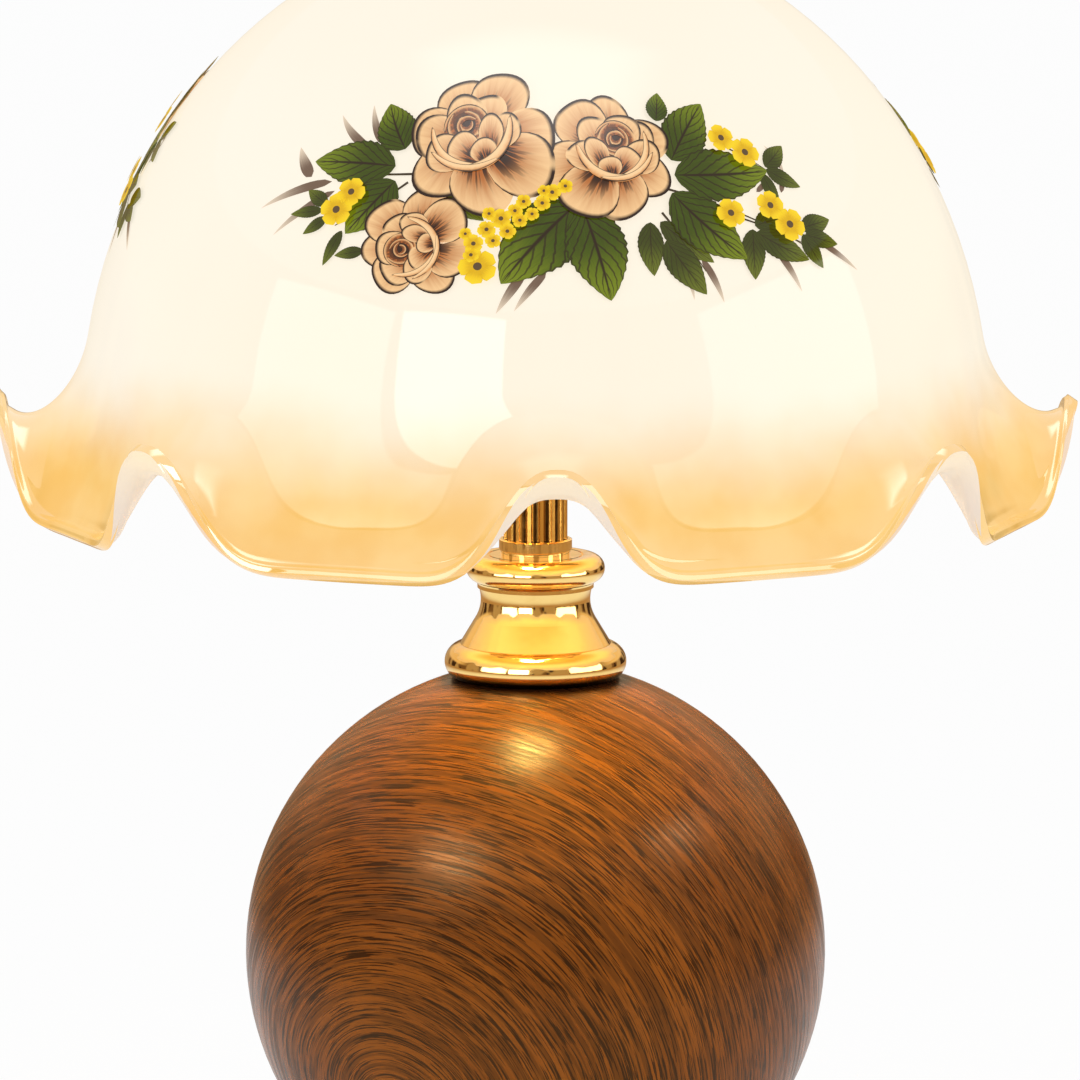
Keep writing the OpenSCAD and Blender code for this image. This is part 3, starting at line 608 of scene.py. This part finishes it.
def opal_inside():
    material, tree, shader = new_material(
        "opal_glass_inside", Coat_Weight=0.25, Coat_Roughness=0.05, Specular_IOR_Level=0.0,
        Emission_Strength=0.8)
    inside_glow_bands = effect(tree, AMBER_HEM_AND_INSIDE_GLOW, Mottle=AMBER_MOTTLE)
    # Painted light: the inside glows as if lit by the bulb, dimmer and more amber at the crown and
    # paler towards the hem
    glow = mixed(tree, inside_glow_bands["Crown"], rgb(250, 230, 186), rgb(206, 162, 92))
    colour = mixed(tree, inside_glow_bands["Amber"], glow, rgb(226, 211, 196))
    lit_through(tree, shader, colour, LIT_FROM_INSIDE)
    return material


def lit_bulb():
    """Glass that glows, and dims towards its neck."""
    material, tree, shader = new_material(
        "lit_bulb", Base_Color=rgb(250, 240, 220), Roughness=0.4, Emission_Strength=26.0)
    height = axes(tree, object_place(tree))[2]
    low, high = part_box("bulb_globe")
    glow = height.ramp(low[2], low[2] + 0.6 * (high[2] - low[2]))
    fill(tree, shader, Emission_Color=mixed(tree, glow, rgb(125, 78, 32), rgb(255, 214, 138)))
    return material


def plain_metal(name, bright, dull, low, high, scale):
    material, tree, shader = new_material(name, Metallic=1.0)
    wear = effect(tree, METAL_WEAR, Scale=scale, Start=0.4, End=0.7)["Wear"]
    fill(tree, shader, Base_Color=mixed(tree, wear, bright, dull),
         Roughness=wear * (high - low) + low)
    return material


def plain_moulding(name, first, second, roughness, grain):
    material, tree, shader = new_material(name)
    moulded = effect(tree, MOULDED_GRAIN, Grain_scale=grain)
    fill(tree, shader, Base_Color=mixed(tree, moulded["Cloud"], first, second),
         Roughness=moulded["Cloud"] * 0.1 + roughness,
         Normal=bumped(tree, moulded["Grain"], 0.2, 0.2 * MM))
    return material


# Each metal's slot and name, its bright and dull colours, its least and most roughness, and its
# wear's scale
METALS = (
    ("plated_wire", "plated_wire", rgb(214, 178, 104), rgb(190, 150, 80), 0.22, 0.34, 150),
    ("bulb_metal", "rolled_bulb_metal", rgb(205, 205, 203), rgb(170, 170, 168), 0.22, 0.36, 180),
    ("zinc_steel", "zinc_steel", rgb(196, 196, 194), rgb(160, 160, 156), 0.25, 0.42, 180),
)
# Each moulding's slot and name, its two colours, its least roughness and its grain's scale
MOULDINGS = (
    ("bulb_insulator", "black_insulator", rgb(24, 22, 21), rgb(38, 34, 32), 0.2, 900),
    ("dark_phenolic", "dark_phenolic", rgb(44, 34, 28), rgb(62, 47, 38), 0.35, 900),
    ("fibre_sleeve", "fibre_sleeve", rgb(188, 172, 142), rgb(164, 146, 114), 0.8, 600),
    ("iron", "cast_iron", rgb(70, 67, 64), rgb(46, 44, 42), 0.6, 420),
    ("cover_paint", "cover_paint", rgb(46, 43, 40), rgb(58, 54, 50), 0.45, 1200),
    ("black_rubber", "black_rubber", rgb(30, 29, 28), rgb(44, 42, 40), 0.7, 900),
    ("pale_rubber", "pale_rubber", rgb(224, 216, 200), rgb(206, 196, 178), 0.7, 900),
)
FINISH_OF_SLOT = {
    "polished_brass": polished_brass(),
    "turned_wood": turned_wood(),
    "bulb_glass": lit_bulb(),
    **{slot: plain_metal(*row) for slot, *row in METALS},
    **{slot: plain_moulding(*row) for slot, *row in MOULDINGS},
}
FINISH_OF_NODE = {
    "fluted_stem": fluted_brass(),
    "bell_cap": polished_brass("brass_painted_seat_shade", BELL_SEAT_Z),
}


def finish_frame_nodes():
    for part in frame["record"]["subparts"]:
        material = FINISH_OF_NODE.get(part["node"]) or FINISH_OF_SLOT.get(part["material_slot"])
        if material:
            mesh = nodes[part["node"]].data
            mesh.materials.clear()
            mesh.materials.append(material)


# Geometry trees

def new_tree(name, *inputs):
    """A geometry tree with a mesh in, a mesh out and named number inputs; its fields by name."""
    tree = bpy.data.node_groups.new(name, "GeometryNodeTree")
    for side in ("OUTPUT", "INPUT"):
        tree.interface.new_socket("Geometry", in_out=side, socket_type="NodeSocketGeometry")
    for key in inputs:
        tree.interface.new_socket(key, in_out="INPUT", socket_type="NodeSocketFloat")
    inlet = tree.nodes.new("NodeGroupInput").outputs
    return tree, inlet["Geometry"], {key: Field(tree, inlet[key]) for key in inputs}


def end_tree(tree, geometry, material):
    whole = add_node(tree, "GeometryNodeRealizeInstances", Geometry=geometry)
    dressed = add_node(tree, "GeometryNodeSetMaterial", Geometry=whole, Material=material)
    plug(tree, tree.nodes.new("NodeGroupOutput").inputs[0], dressed)
    return tree


def point_axes(tree):
    """The x, y and z of each point."""
    return axes(tree, tree.nodes.new("GeometryNodeInputPosition"))


def round_axis(tree, radius, angle, height):
    """A point at a radius from the lamp's axis, an angle from the front and a height."""
    return vector_of(tree, X=radius * angle.sin(), Y=radius * angle.cos() * -1.0, Z=height)


def store(tree, geometry, name, value, kind):
    """Keeps a value under a name for each point."""
    return add_node(tree, "GeometryNodeStoreNamedAttribute", {"domain": "POINT", "data_type": kind},
                    Geometry=geometry, Name=name, Value=value)


def stored(tree, name):
    node = add_node(tree, "GeometryNodeInputNamedAttribute", {"data_type": "FLOAT"}, Name=name)
    return Field(tree, node.outputs["Attribute"])


def copies_round(tree, geometry, count, drift=0.0):
    """Copies of a geometry round the z axis; drift takes the middle ones off their even places."""
    index = Field(tree, tree.nodes.new("GeometryNodeInputIndex").outputs[0])
    turn = index * (2 * math.pi) / count + index * (count - 1 - index) * drift
    return add_node(tree, "GeometryNodeInstanceOnPoints", Instance=geometry,
                    Points=add_node(tree, "GeometryNodePoints", Count=count),
                    Rotation=vector_of(tree, Z=turn))


def mesh_from_tree(name, tree, values, start=None):
    """Runs a tree on a mesh with named input values and keeps its result as a plain mesh object."""
    host = new_object(name + "_host", start or bpy.data.meshes.new(name + "_host"))
    modifier = host.modifiers.new("tree", "NODES")
    modifier.node_group = tree
    for item in tree.interface.items_tree:
        if item.in_out == "INPUT" and item.name in values:
            modifier[item.identifier] = values[item.name]
    graph = bpy.context.evaluated_depsgraph_get()
    mesh = bpy.data.meshes.new_from_object(host.evaluated_get(graph))
    bpy.data.objects.remove(host)
    mesh.name = name
    return new_object(name, mesh)


# Ruffled glass shade

def cubic(handles, share):
    """A point on a cubic curve with four handles."""
    rest = 1 - share
    return (rest * rest * rest * handles[0] + rest * rest * share * 3 * handles[1]
            + rest * share * share * 3 * handles[2] + share * share * share * handles[3])


def shade_tree(material):
    """A grid bent into the crown, the dome and the ruffled skirt of the shade."""
    tree, _, size = new_tree("ruffled_shade", *SHADE, "Rounds", "Rings")
    grid = add_node(tree, "GeometryNodeMeshGrid", Size_X=1.0, Size_Y=1.0,
                    Vertices_X=size["Rounds"], Vertices_Y=size["Rings"])
    x, y, _ = point_axes(tree)
    angle = (x + 0.5) * (2 * math.pi)
    down = y + 0.5

    # Rings of the grid fall on these two bounds
    crown_end = CROWN_RINGS / (SHADE_RINGS - 1)
    dome_end = DOME_RINGS / (SHADE_RINGS - 1)
    margin = 1e-4
    on_crown = down.op("LESS_THAN", crown_end + margin)
    on_skirt = down.op("GREATER_THAN", dome_end + margin)
    on_dome = 1 - on_crown - on_skirt

    centre = size["Crown top"] - size["Dome rise"] * (
        1 - (size["Crown radius"] / size["Dome radius"]) ** 2).sqrt()
    crown_width = size["Crown radius"] - size["Hole radius"]
    crown_r = size["Hole radius"] + crown_width * (down / crown_end)

    start_share = size["Ruffle start"] / size["Dome rise"]
    first_turn = (size["Crown radius"] / size["Dome radius"]).op("ARCSINE")
    last_turn = start_share.op("ARCCOSINE")
    turn = first_turn + (last_turn - first_turn) * ((down - crown_end) / (dome_end - crown_end))
    dome_r = size["Dome radius"] * turn.sin()
    dome_z = centre + size["Dome rise"] * turn.cos()

    start_cos = (1 - start_share * start_share).sqrt()
    start_r = size["Dome radius"] * start_cos
    start_slope = size["Dome radius"] / size["Dome rise"] * start_share / start_cos
    start_z = centre + size["Ruffle start"]
    pull_r = start_r + size["Start pull"] * start_slope
    pull_z = start_z - size["Start pull"]
    share = 1 - (1 - ((down - dome_end) / (1 - dome_end)).clamped()) ** RING_CROWDING
    off = angle - size["Notch angle"]
    swing = (size["Ruffles"] * (off - size["Notch spread"] * (off * 2).sin())).cos() * 0.5 + 0.5
    lip_end = centre + size["Lip rise"] - size["Rim sway"] * off.sin() ** 3
    lip = (cubic((start_r, pull_r, size["Lip reach"], size["Lip radius"]), share),
           cubic((start_z, pull_z, centre - size["Lip dip"], lip_end), share))
    lobe = (cubic((start_r, pull_r, size["Lobe reach"], size["Lobe radius"]), share),
            cubic((start_z, pull_z, centre - size["Lobe dip"], centre - size["Lobe drop"]), share))
    skirt_r = lobe[0] + (lip[0] - lobe[0]) * swing ** size["Flare power"]
    notch = 1 - (1 - swing ** size["Notch power"]) ** size["Notch round"]
    skirt_z = lobe[1] + (lip[1] - lobe[1]) * notch

    radius = crown_r * on_crown + dome_r * on_dome + skirt_r * on_skirt
    height = size["Crown top"] * on_crown + dome_z * on_dome + skirt_z * on_skirt

    kept = store(tree, grid, "hem", share, "FLOAT")
    bent = add_node(tree, "GeometryNodeSetPosition", Geometry=kept,
                    Position=round_axis(tree, radius, angle, height))
    closed = add_node(tree, "GeometryNodeMergeByDistance", Geometry=bent,
                      Distance=WELD_DISTANCE)
    hem = stored(tree, "hem")

    def swell(place, width):
        off_crest = (hem - size[place]) / size[width]
        return (off_crest * off_crest * -1.0).op("EXPONENT")

    dish = swell("Dish place", "Dish width") * size["Dish depth"]
    bead = swell("Bead place", "Bead width") * size["Bead height"]
    outward = add_node(tree, "ShaderNodeVectorMath", {"operation": "SCALE"}, Scale=dish - bead,
                       Vector=tree.nodes.new("GeometryNodeInputNormal"))
    beaded = add_node(tree, "GeometryNodeSetPosition", Geometry=closed, Offset=outward)
    return end_tree(tree, add_node(tree, "GeometryNodeSetShadeSmooth", Geometry=beaded), material)


def face_outward(piece):
    shape = bmesh.new()
    shape.from_mesh(piece.data)
    bmesh.ops.recalc_face_normals(shape, faces=shape.faces)
    shape.to_mesh(piece.data)
    shape.free()


# Printed flowers on the glass

LAYER = 0.02 * MM
PRINT_TILT = math.radians(56.1)
PRINT_ON_DOME = {
    "Dome radius": SHADE["Dome radius"],
    "Dome rise": SHADE["Dome rise"],
    "Dome centre": DOME_CENTRE,
    "Tilt": PRINT_TILT,
    "Meridian": 155 * MM,
    "Parallel": SHADE["Dome radius"] * math.sin(PRINT_TILT),
    "Proud": 0.1 * MM,
    "Sprays": 3.0,
    "Drift": math.radians(9),
}
BLOSSOM = {"Petals": 5.0, "Petal width": 0.62, "Layer": LAYER}
INK_LAYERS = ("light_ink", "dark_ink", "marks")
PRINT_SEED = 7
OUTLINE_INK = rgb(48, 28, 16)
# Each ink has a light end, a dark end, and its marks: how strong its hatching, its veins and the
# lines along its sides are, and how wide the line at its end is
INKS = {
    "petal": (rgb(248, 204, 148), rgb(178, 98, 38), (1.0, 0.0, 0.0, 0.08)),
    "curl": (rgb(246, 198, 140), rgb(176, 100, 46), (0.6, 0.0, 0.9, 0.2)),
    "heart": (rgb(150, 88, 42), rgb(70, 38, 20), (0.8, 0.0, 0.0, 0.0)),
    "lip": (rgb(220, 150, 86), rgb(250, 208, 154), (0.0, 0.0, 0.9, 0.24)),
    "leaf": (rgb(122, 136, 22), rgb(66, 82, 6), (0.2, 0.95, 0.7, 0.0)),
    "sprig": (rgb(110, 118, 34), rgb(66, 74, 18), (0.2, 0.7, 0.7, 0.0)),
    "yellow": (rgb(252, 218, 36), rgb(240, 190, 18), (0.15, 0.0, 0.2, 0.0)),
    "eye": (rgb(170, 150, 100), rgb(96, 74, 48), (0.0, 0.0, 0.9, 0.0)),
    "wisp": (rgb(236, 216, 190), rgb(122, 98, 80), (0.1, 0.0, 0.0, 0.0)),
    "stem": (rgb(86, 72, 40), rgb(64, 50, 28), (0.0, 0.0, 0.2, 0.0)),
}


class FlatPrint:
    """Ink shapes on a flat sheet, each over the last, as grids that know their width and length."""

    def __init__(self):
        self.shape = bmesh.new()
        layers = self.shape.verts.layers
        self.spot = layers.float_vector.new("spot")
        self.ink = [layers.float_color.new(name) for name in INK_LAYERS]
        self.chance = random.Random(PRINT_SEED)
        self.height = 0.0

    def draw(self, ink, place, across, along):
        """Adds a shape whose point for across (-1 to 1) and along (0 to 1) comes from place."""
        self.height += LAYER
        seed = self.chance.random()
        rows = []
        for i in range(along + 1):
            rows.append([])
            for j in range(across + 1):
                u, v = 2 * j / across - 1, i / along
                x, y = place(u, v)
                vert = self.shape.verts.new((x * MM, y * MM, self.height))
                vert[self.spot] = (u, v, seed)
                for layer, value in zip(self.ink, INKS[ink]):
                    vert[layer] = value
                rows[-1].append(vert)
        for low, high in zip(rows, rows[1:]):
            for j in range(across):
                self.shape.faces.new((low[j], low[j + 1], high[j + 1], high[j]))

    def mesh(self, name):
        mesh = bpy.data.meshes.new(name)
        self.shape.to_mesh(mesh)
        self.shape.free()
        return mesh


def leaf_width(v):
    teeth = 12
    notch = 0.1 * (v * teeth % 1 - 0.5) if v < 0.97 else 0
    return math.sin(math.pi * v ** 0.78) ** 0.85 * (1 + notch)


def wisp_width(v):
    return math.sin(math.pi * v ** 0.6) ** 0.8


def stem_width(v):
    return 1 - 0.6 * v


def blade(base, heading, length, width, bend, width_at):
    """Places a shape that grows from base along a bending line, as wide as width_at says."""
    heading = math.radians(heading)
    # A straight line counts as a very slight bend
    bend = bend or 1e-4

    def place(u, v):
        turn = heading + bend * v
        x = base[0] + length / bend * (math.sin(turn) - math.sin(heading))
        y = base[1] - length / bend * (math.cos(turn) - math.cos(heading))
        half = u * width / 2 * max(width_at(v), 0)
        return x + half * math.sin(turn), y - half * math.cos(turn)
    return place


def polar(centre, reach, turn):
    return centre[0] + reach * math.cos(turn), centre[1] + reach * math.sin(turn)


def crescent(centre, radius, thickness, middle, span):
    """Places a curled petal seen from above: an arc, thick in the middle and thin at its ends.

    A full turn has the same thickness all round.
    """
    def place(u, v):
        turn = math.radians(middle - u * span / 2)
        taper = max(1 - u * u, 0) ** 0.5 if span < 360 else 1
        inner = radius - thickness * taper
        return polar(centre, inner + (radius - inner) * v, turn)
    return place


def fan(base, heading, length, spread, curl, ripple):
    """Places a broad round petal: across turns round its base, and along goes outward."""
    def place(u, v):
        waves = 1 + ripple * math.cos(5 * u + heading)
        outline = max(math.cos(u * math.pi / 2), 0) ** 0.42 * waves
        turn = math.radians(heading + u * spread / 2) + curl * v * v
        return polar(base, v * length * outline, turn)
    return place


# The petals of a rose of radius 1, from the back to the front: base, heading, length and spread
OPEN_PETALS = (
    (0.0, 0.0, 82, 0.90, 100), (0.0, 0.0, 148, 0.90, 98), (0.05, 0.0, 32, 1.0, 98),
    (0.0, 0.0, 205, 0.92, 96), (0.05, -0.05, -22, 1.0, 92), (0.0, -0.05, 250, 0.95, 98),
    (0.05, -0.08, 302, 1.0, 98),
)
CUP_BACK = ((0.02, -0.2, 58, 0.82, 84), (-0.06, -0.2, 126, 0.84, 88), (-0.02, -0.2, 92, 0.84, 80))
CUP_FRONT = (
    (0.10, -0.30, 38, 0.62, 84), (-0.10, -0.28, 146, 0.66, 92), (0.06, -0.34, 68, 0.58, 66),
    (-0.06, -0.36, 112, 0.52, 92), (0.0, -0.40, 80, 0.36, 120),
)
# Each curled petal of a rose's heart: radius, thickness, bearing of its middle and span
ROSE_HEART = (
    (0.30, 0.12, 60, 230), (0.26, 0.11, 215, 210), (0.20, 0.09, 330, 230), (0.14, 0.08, 120, 230),
    (0.09, 0.07, 260, 250),
)
# The folded lips that close the cup below: radius, thickness, bearing of the middle and span
CUP_LIPS = ((0.50, 0.10, 205, 112), (0.56, 0.13, 290, 132), (0.55, 0.09, 238, 104))
PETAL_RIPPLE = 0.035
HEART_RADIUS = 0.3
# How many steps each shape's grid has across and along
PETAL_STEPS = (22, 9)
HEART_STEPS = (24, 4)
CURL_STEPS = (20, 4)
LIP_STEPS = (24, 5)


def draw_rose(sheet, x, y, size, turn, side):
    """A rose; side is 1, or -1 for its mirror image."""
    chance = sheet.chance
    cosine, sine = math.cos(math.radians(turn)), math.sin(math.radians(turn))

    def spot(a, b):
        a *= side
        return x + size * (a * cosine - b * sine), y + size * (a * sine + b * cosine)

    def turned(bearing):
        return turn + (bearing if side > 0 else 180 - bearing)

    def petals(table, loose):
        for a, b, heading, length, spread in table:
            sheet.draw("petal", fan(
                spot(a, b),
                turned(heading) + chance.uniform(-loose, loose),
                size * length * chance.uniform(0.94, 1.04),
                spread,
                chance.uniform(-0.12, 0.12),
                PETAL_RIPPLE,
            ), *PETAL_STEPS)

    def curl(ink, centre, radius, thickness, bearing, span, steps):
        place = crescent(centre, radius * size, thickness * size, bearing, span)
        sheet.draw(ink, place, *steps)

    petals(OPEN_PETALS, 7)
    petals(CUP_BACK, 3)
    middle = spot(-0.03, 0.2)
    curl("heart", middle, HEART_RADIUS, HEART_RADIUS, 0, 360, HEART_STEPS)
    for radius, thickness, bearing, span in ROSE_HEART:
        curl("curl", middle, radius, thickness, bearing + turn, span, CURL_STEPS)
    petals(CUP_FRONT, 3)
    below = spot(-0.02, 0.12)
    for radius, thickness, bearing, span in CUP_LIPS:
        curl("lip", below, radius, thickness, turned(bearing), span, LIP_STEPS)


# Each rose: place, radius, turn and side
ROSES = ((-35, -21, 18, 100, 1), (25, 10, 23, -8, -1), (-20, 15, 26, 28, 1))
# Each blade: place of its base, heading, length, width and bend
LEAVES = (
    (-45, 5, 176, 29, 16, 0.15), (-43, 11, 128, 19, 14, -0.2), (-44, 0, 232, 22, 15, 0.1),
    (12, -7, 222, 33, 22, 0.25), (14, -8, 287, 30, 18, -0.15), (44, 7, 56, 26, 16, -0.25),
    (42, -4, -54, 30, 17, 0.2), (44, 2, -4, 33, 18, 0.1), (42, 21, 72, 11, 8, 0.0),
)
SPRIGS = (
    (34, -13, 262, 17, 8, 0.2), (37, -13, 314, 20, 8, 0.1), (38, -19, 297, 20, 10, 0.1),
    (-30, -4, -20, 17, 7, -0.3), (77, 3, 30, 12, 7, 0.1), (77, 2, -35, 13, 6, 0.1),
    (75, 1, -80, 12, 5, 0.1), (66, -17, -102, 16, 8, 0.1), (67, -16, 14, 14, 8, -0.2),
    (67, -18, -38, 19, 9, 0.2), (83, -18, 8, 12, 7, 0.0), (84, -20, -24, 12, 6, 0.1),
    (83, -20, -72, 12, 6, 0.1), (-65, -9, 152, 9, 5, 0.0), (-66, -11, 188, 11, 4, 0.1),
    (-64, -13, 222, 9, 4, 0.0), (-58, -17, 248, 12, 4, 0.1), (-50, -23, 190, 9, 4, 0.1),
)
WISPS = (
    (-66, -1, 192, 26, 3.0, 0.45), (-64, -4, 212, 24, 2.6, 0.35), (-74, 0, 140, 13, 4.0, -0.3),
    (-56, 11, 156, 19, 3.0, -0.45), (-52, 13, 130, 16, 2.8, -0.35), (-44, 23, 176, 10, 1.8, 0.0),
    (-3, -28, 236, 15, 2.8, 0.1), (3, -28, 228, 15, 2.4, 0.2), (48, -25, -62, 15, 2.2, -0.3),
    (42, -24, -75, 14, 2.0, -0.2), (72, -23, -58, 16, 2.4, -0.3), (88, -22, -35, 17, 2.2, -0.2),
    (80, -6, 60, 12, 2.0, 0.3), (71, -5, 30, 9, 1.8, 0.2), (83, 2, 100, 9, 1.6, 0.3),
)
STEMS = (
    (-26, 4, 186, 42, 1.0, -0.1), (-40, 0, 222, 26, 0.8, -0.2), (40, -2, -18, 48, 0.8, -0.3),
    (24, -6, 215, 36, 0.9, -0.3), (60, -12, -20, 26, 0.7, -0.2), (66, 10, -30, 14, 0.6, -0.2),
    (38, -10, -58, 22, 0.8, -0.1), (4, 0, 245, 30, 0.8, 0.2),
)
# The blades from the back to the front: ink, table, outline, and steps across and along
BLADES = (
    ("wisp", WISPS, wisp_width, 2, 10),
    ("stem", STEMS, stem_width, 2, 12),
    ("sprig", SPRIGS, leaf_width, 4, 24),
    ("leaf", LEAVES, leaf_width, 6, 36),
)
# Small yellow flowers: place, radius and turn
BLOSSOMS = (
    (-60.5, -11, 5.4, 0.2), (-57, -5, 4.8, 0.9), (-16, -27, 5.6, 0.4), (63, 13, 4.8, 0.1),
    (70, 7.5, 5.2, 0.7), (59, -12, 4.8, 0.3), (73, -10.5, 4.8, 1.0), (78, -17, 5.4, 0.5),
    (-10, -12, 3.2, 0.2), (-6, -9.5, 2.4, 0.8), (-14, -15.5, 2.8, 0.6), (-17.5, -20, 3.0, 0.1),
    (2, -7, 2.6, 0.4), (5, -3.5, 2.8, 0.9), (-1, -10.5, 2.2, 0.5), (-12, -19, 2.4, 0.3),
    (-20, -17, 2.0, 0.7), (-3.5, -6.5, 2.4, 0.6), (9, -1.5, 2.4, 0.2), (-8, -16, 2.6, 0.9),
    (-4.5, -12.5, 2.4, 0.1), (-18, -23.5, 2.4, 0.5), (2.5, -3, 2.0, 0.3), (-13.5, -10.5, 2.2, 0.8),
)


def draw_spray():
    sheet = FlatPrint()
    for ink, table, width_at, across, along in BLADES:
        for x, y, heading, length, width, bend in table:
            sheet.draw(ink, blade((x, y), heading, length, width, bend, width_at), across, along)
    for rose in ROSES:
        draw_rose(sheet, *rose)
    return sheet.mesh("flat_spray")


def blossom_points(height):
    """The small flowers' places, with each one's size and turn."""
    mesh = bpy.data.meshes.new("blossom_points")
    mesh.from_pydata([(x * MM, y * MM, height) for x, y, size, turn in BLOSSOMS], [], [])
    for name, column in (("size", 2), ("turn", 3)):
        values = mesh.attributes.new(name, "FLOAT", "POINT")
        values.data.foreach_set("value", [row[column] for row in BLOSSOMS])
    return mesh


def inked(tree, geometry, ink, spot):
    """Stores an ink and each point's place across and along the shape."""
    for name, value in zip(INK_LAYERS, INKS[ink]):
        geometry = store(tree, geometry, name, value, "FLOAT_COLOR")
    return store(tree, geometry, "spot", spot, "FLOAT_VECTOR")


def blossom_tree(material):
    """Round petals and an eye at each point, with the point's size and turn."""
    tree, points, size = new_tree("blossoms", *BLOSSOM)
    grid = add_node(
        tree, "GeometryNodeMeshGrid", Size_X=2.0, Size_Y=1.0, Vertices_X=7, Vertices_Y=7)
    across, along, _ = point_axes(tree)
    along = along + 0.5
    spread = along ** 0.6 * (1 - along ** 5) ** 0.5 * size["Petal width"]
    petal = inked(tree, grid, "yellow", vector_of(tree, X=across, Y=along))
    petal = add_node(tree, "GeometryNodeSetPosition", Geometry=petal,
                     Position=vector_of(tree, X=across * spread, Y=along))
    petals = copies_round(tree, petal, size["Petals"])
    disc = add_node(
        tree, "GeometryNodeMeshCircle", {"fill_type": "TRIANGLE_FAN"}, Vertices=14, Radius=0.22)
    eye = inked(tree, disc, "eye", (0.0, 0.35, 0.0))
    raised = add_node(tree, "GeometryNodeTransform", Geometry=eye,
                      Translation=vector_of(tree, Z=size["Layer"]))
    flower = tree.nodes.new("GeometryNodeJoinGeometry")
    plug(tree, flower.inputs[0], raised)
    plug(tree, flower.inputs[0], petals)
    flat = stored(tree, "size") * MM
    placed = add_node(tree, "GeometryNodeInstanceOnPoints", Points=points, Instance=flower,
                      Rotation=vector_of(tree, Z=stored(tree, "turn")),
                      Scale=vector_of(tree, X=flat, Y=flat, Z=1.0))
    return end_tree(tree, placed, material)


def wrap_tree(material):
    """Lays a flat print on the dome and repeats it round the axis."""
    tree, flat, size = new_tree("print_on_dome", *PRINT_ON_DOME)
    x, y, z = point_axes(tree)
    turn = size["Tilt"] - y / size["Meridian"]
    proud = size["Proud"] + z
    radius = (size["Dome radius"] + proud) * turn.sin()
    height = size["Dome centre"] + (size["Dome rise"] + proud) * turn.cos()
    bent = add_node(tree, "GeometryNodeSetPosition", Geometry=flat,
                    Position=round_axis(tree, radius, x / size["Parallel"], height))
    smooth = add_node(tree, "GeometryNodeSetShadeSmooth", Geometry=bent)
    # The transfers are laid by hand, so the second one has drifted off its even place
    return end_tree(tree, copies_round(tree, smooth, size["Sprays"], size["Drift"]), material)


def printed_ink():
    """Ink with hatching along each shape, veins in the leaves and a dark outline."""
    material, tree, shader = new_material(
        "printed_ink", Specular_IOR_Level=0.0, Coat_Weight=0.5, Coat_Roughness=0.05,
        Emission_Strength=GLOW)
    across, along, seed = axes(tree, attribute(tree, "spot", "Vector"))
    hatching, veins, outline = axes(tree, attribute(tree, "marks", "Vector"))
    end_width = Field(tree, attribute(tree, "marks", "Alpha"))
    side = across.abs()
    own_place = seed * 40.0

    stroke_place = vector_of(tree, X=across * 10.0, Y=along * 1.3, Z=own_place)
    strokes = noise(tree, stroke_place, 1.0, 2, 0.55)
    fade = 1 - along.ramp(0.35, 0.85)
    hatch = (strokes + fade * 0.27).ramp(0.64, 0.74) * hatching * fade
    rib = 1 - side.ramp(0.02, 0.09)
    slant = (along * 6.5 - side * 2.9).op("FRACT")
    side_veins = 1 - (slant - 0.5).abs().ramp(0.05, 0.16)
    vein = rib.max(side_veins * 0.8) * veins
    drawn = noise(tree, vector_of(tree, X=across * 1.6, Z=own_place), 1.0, 1).ramp(0.3, 0.45)
    end_line = ((along - 1 + end_width) / (end_width * 0.6)).clamped() * drawn
    start_line = (1 - along.ramp(0.03, 0.14)) * end_width.op("GREATER_THAN", 0.1)
    edge = (side.ramp(0.91, 0.97).max(start_line) * outline).max(end_line)
    lines = hatch.max(vein).max(edge).clamped()

    tone = (along + (strokes - 0.5) * 0.4).ramp(0.3, 1.05)
    dark, light = (attribute(tree, name, "Color") for name in ("dark_ink", "light_ink"))
    body = mixed(tree, tone, dark, light)
    lit_through(tree, shader, mixed(tree, lines, body, OUTLINE_INK), LIT_FROM_FRONT)
    return material


def build_print():
    ink = printed_ink()
    spray = draw_spray()
    top_layer = max(v.co.z for v in spray.vertices) + LAYER
    blossoms = mesh_from_tree(
        "flat_blossoms", blossom_tree(ink), BLOSSOM, blossom_points(top_layer))
    flat_blossoms = blossoms.data
    bpy.data.objects.remove(blossoms)
    tree = wrap_tree(ink)
    for name, flat in (("printed_roses", spray), ("printed_blossoms", flat_blossoms)):
        piece = mesh_from_tree(name, tree, PRINT_ON_DOME, flat)
        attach(piece, "shade")


def build_shade():
    outside, inside = opal_outside(), opal_inside()
    shade = mesh_from_tree("ruffled_glass", shade_tree(outside), {
        **SHADE, "Rounds": float(SHADE_ROUNDS), "Rings": float(SHADE_RINGS)})
    face_outward(shade)
    shade.data.materials.append(inside)
    wall = shade.modifiers.new("glass_wall", "SOLIDIFY")
    wall.thickness = GLASS_THICKNESS
    wall.offset = -1
    wall.use_even_offset = True
    wall.use_quality_normals = True
    wall.material_offset = 1
    wall.material_offset_rim = 0
    rim = shade.modifiers.new("rounded_rim", "BEVEL")
    rim.width = RIM_ROUNDING
    rim.segments = 3
    rim.limit_method = "ANGLE"
    rim.angle_limit = RIM_ANGLE
    rim.material = 0
    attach(shade, "shade")
    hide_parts("shade_glass")


build_camera()
build_world()
build_floor()
for softbox in SOFTBOXES:
    build_softbox(*softbox)
build_lamp_glow()
build_room_screen()
finish_frame_nodes()
build_shade()
build_print()

bpy.context.scene.view_settings.view_transform = "Standard"
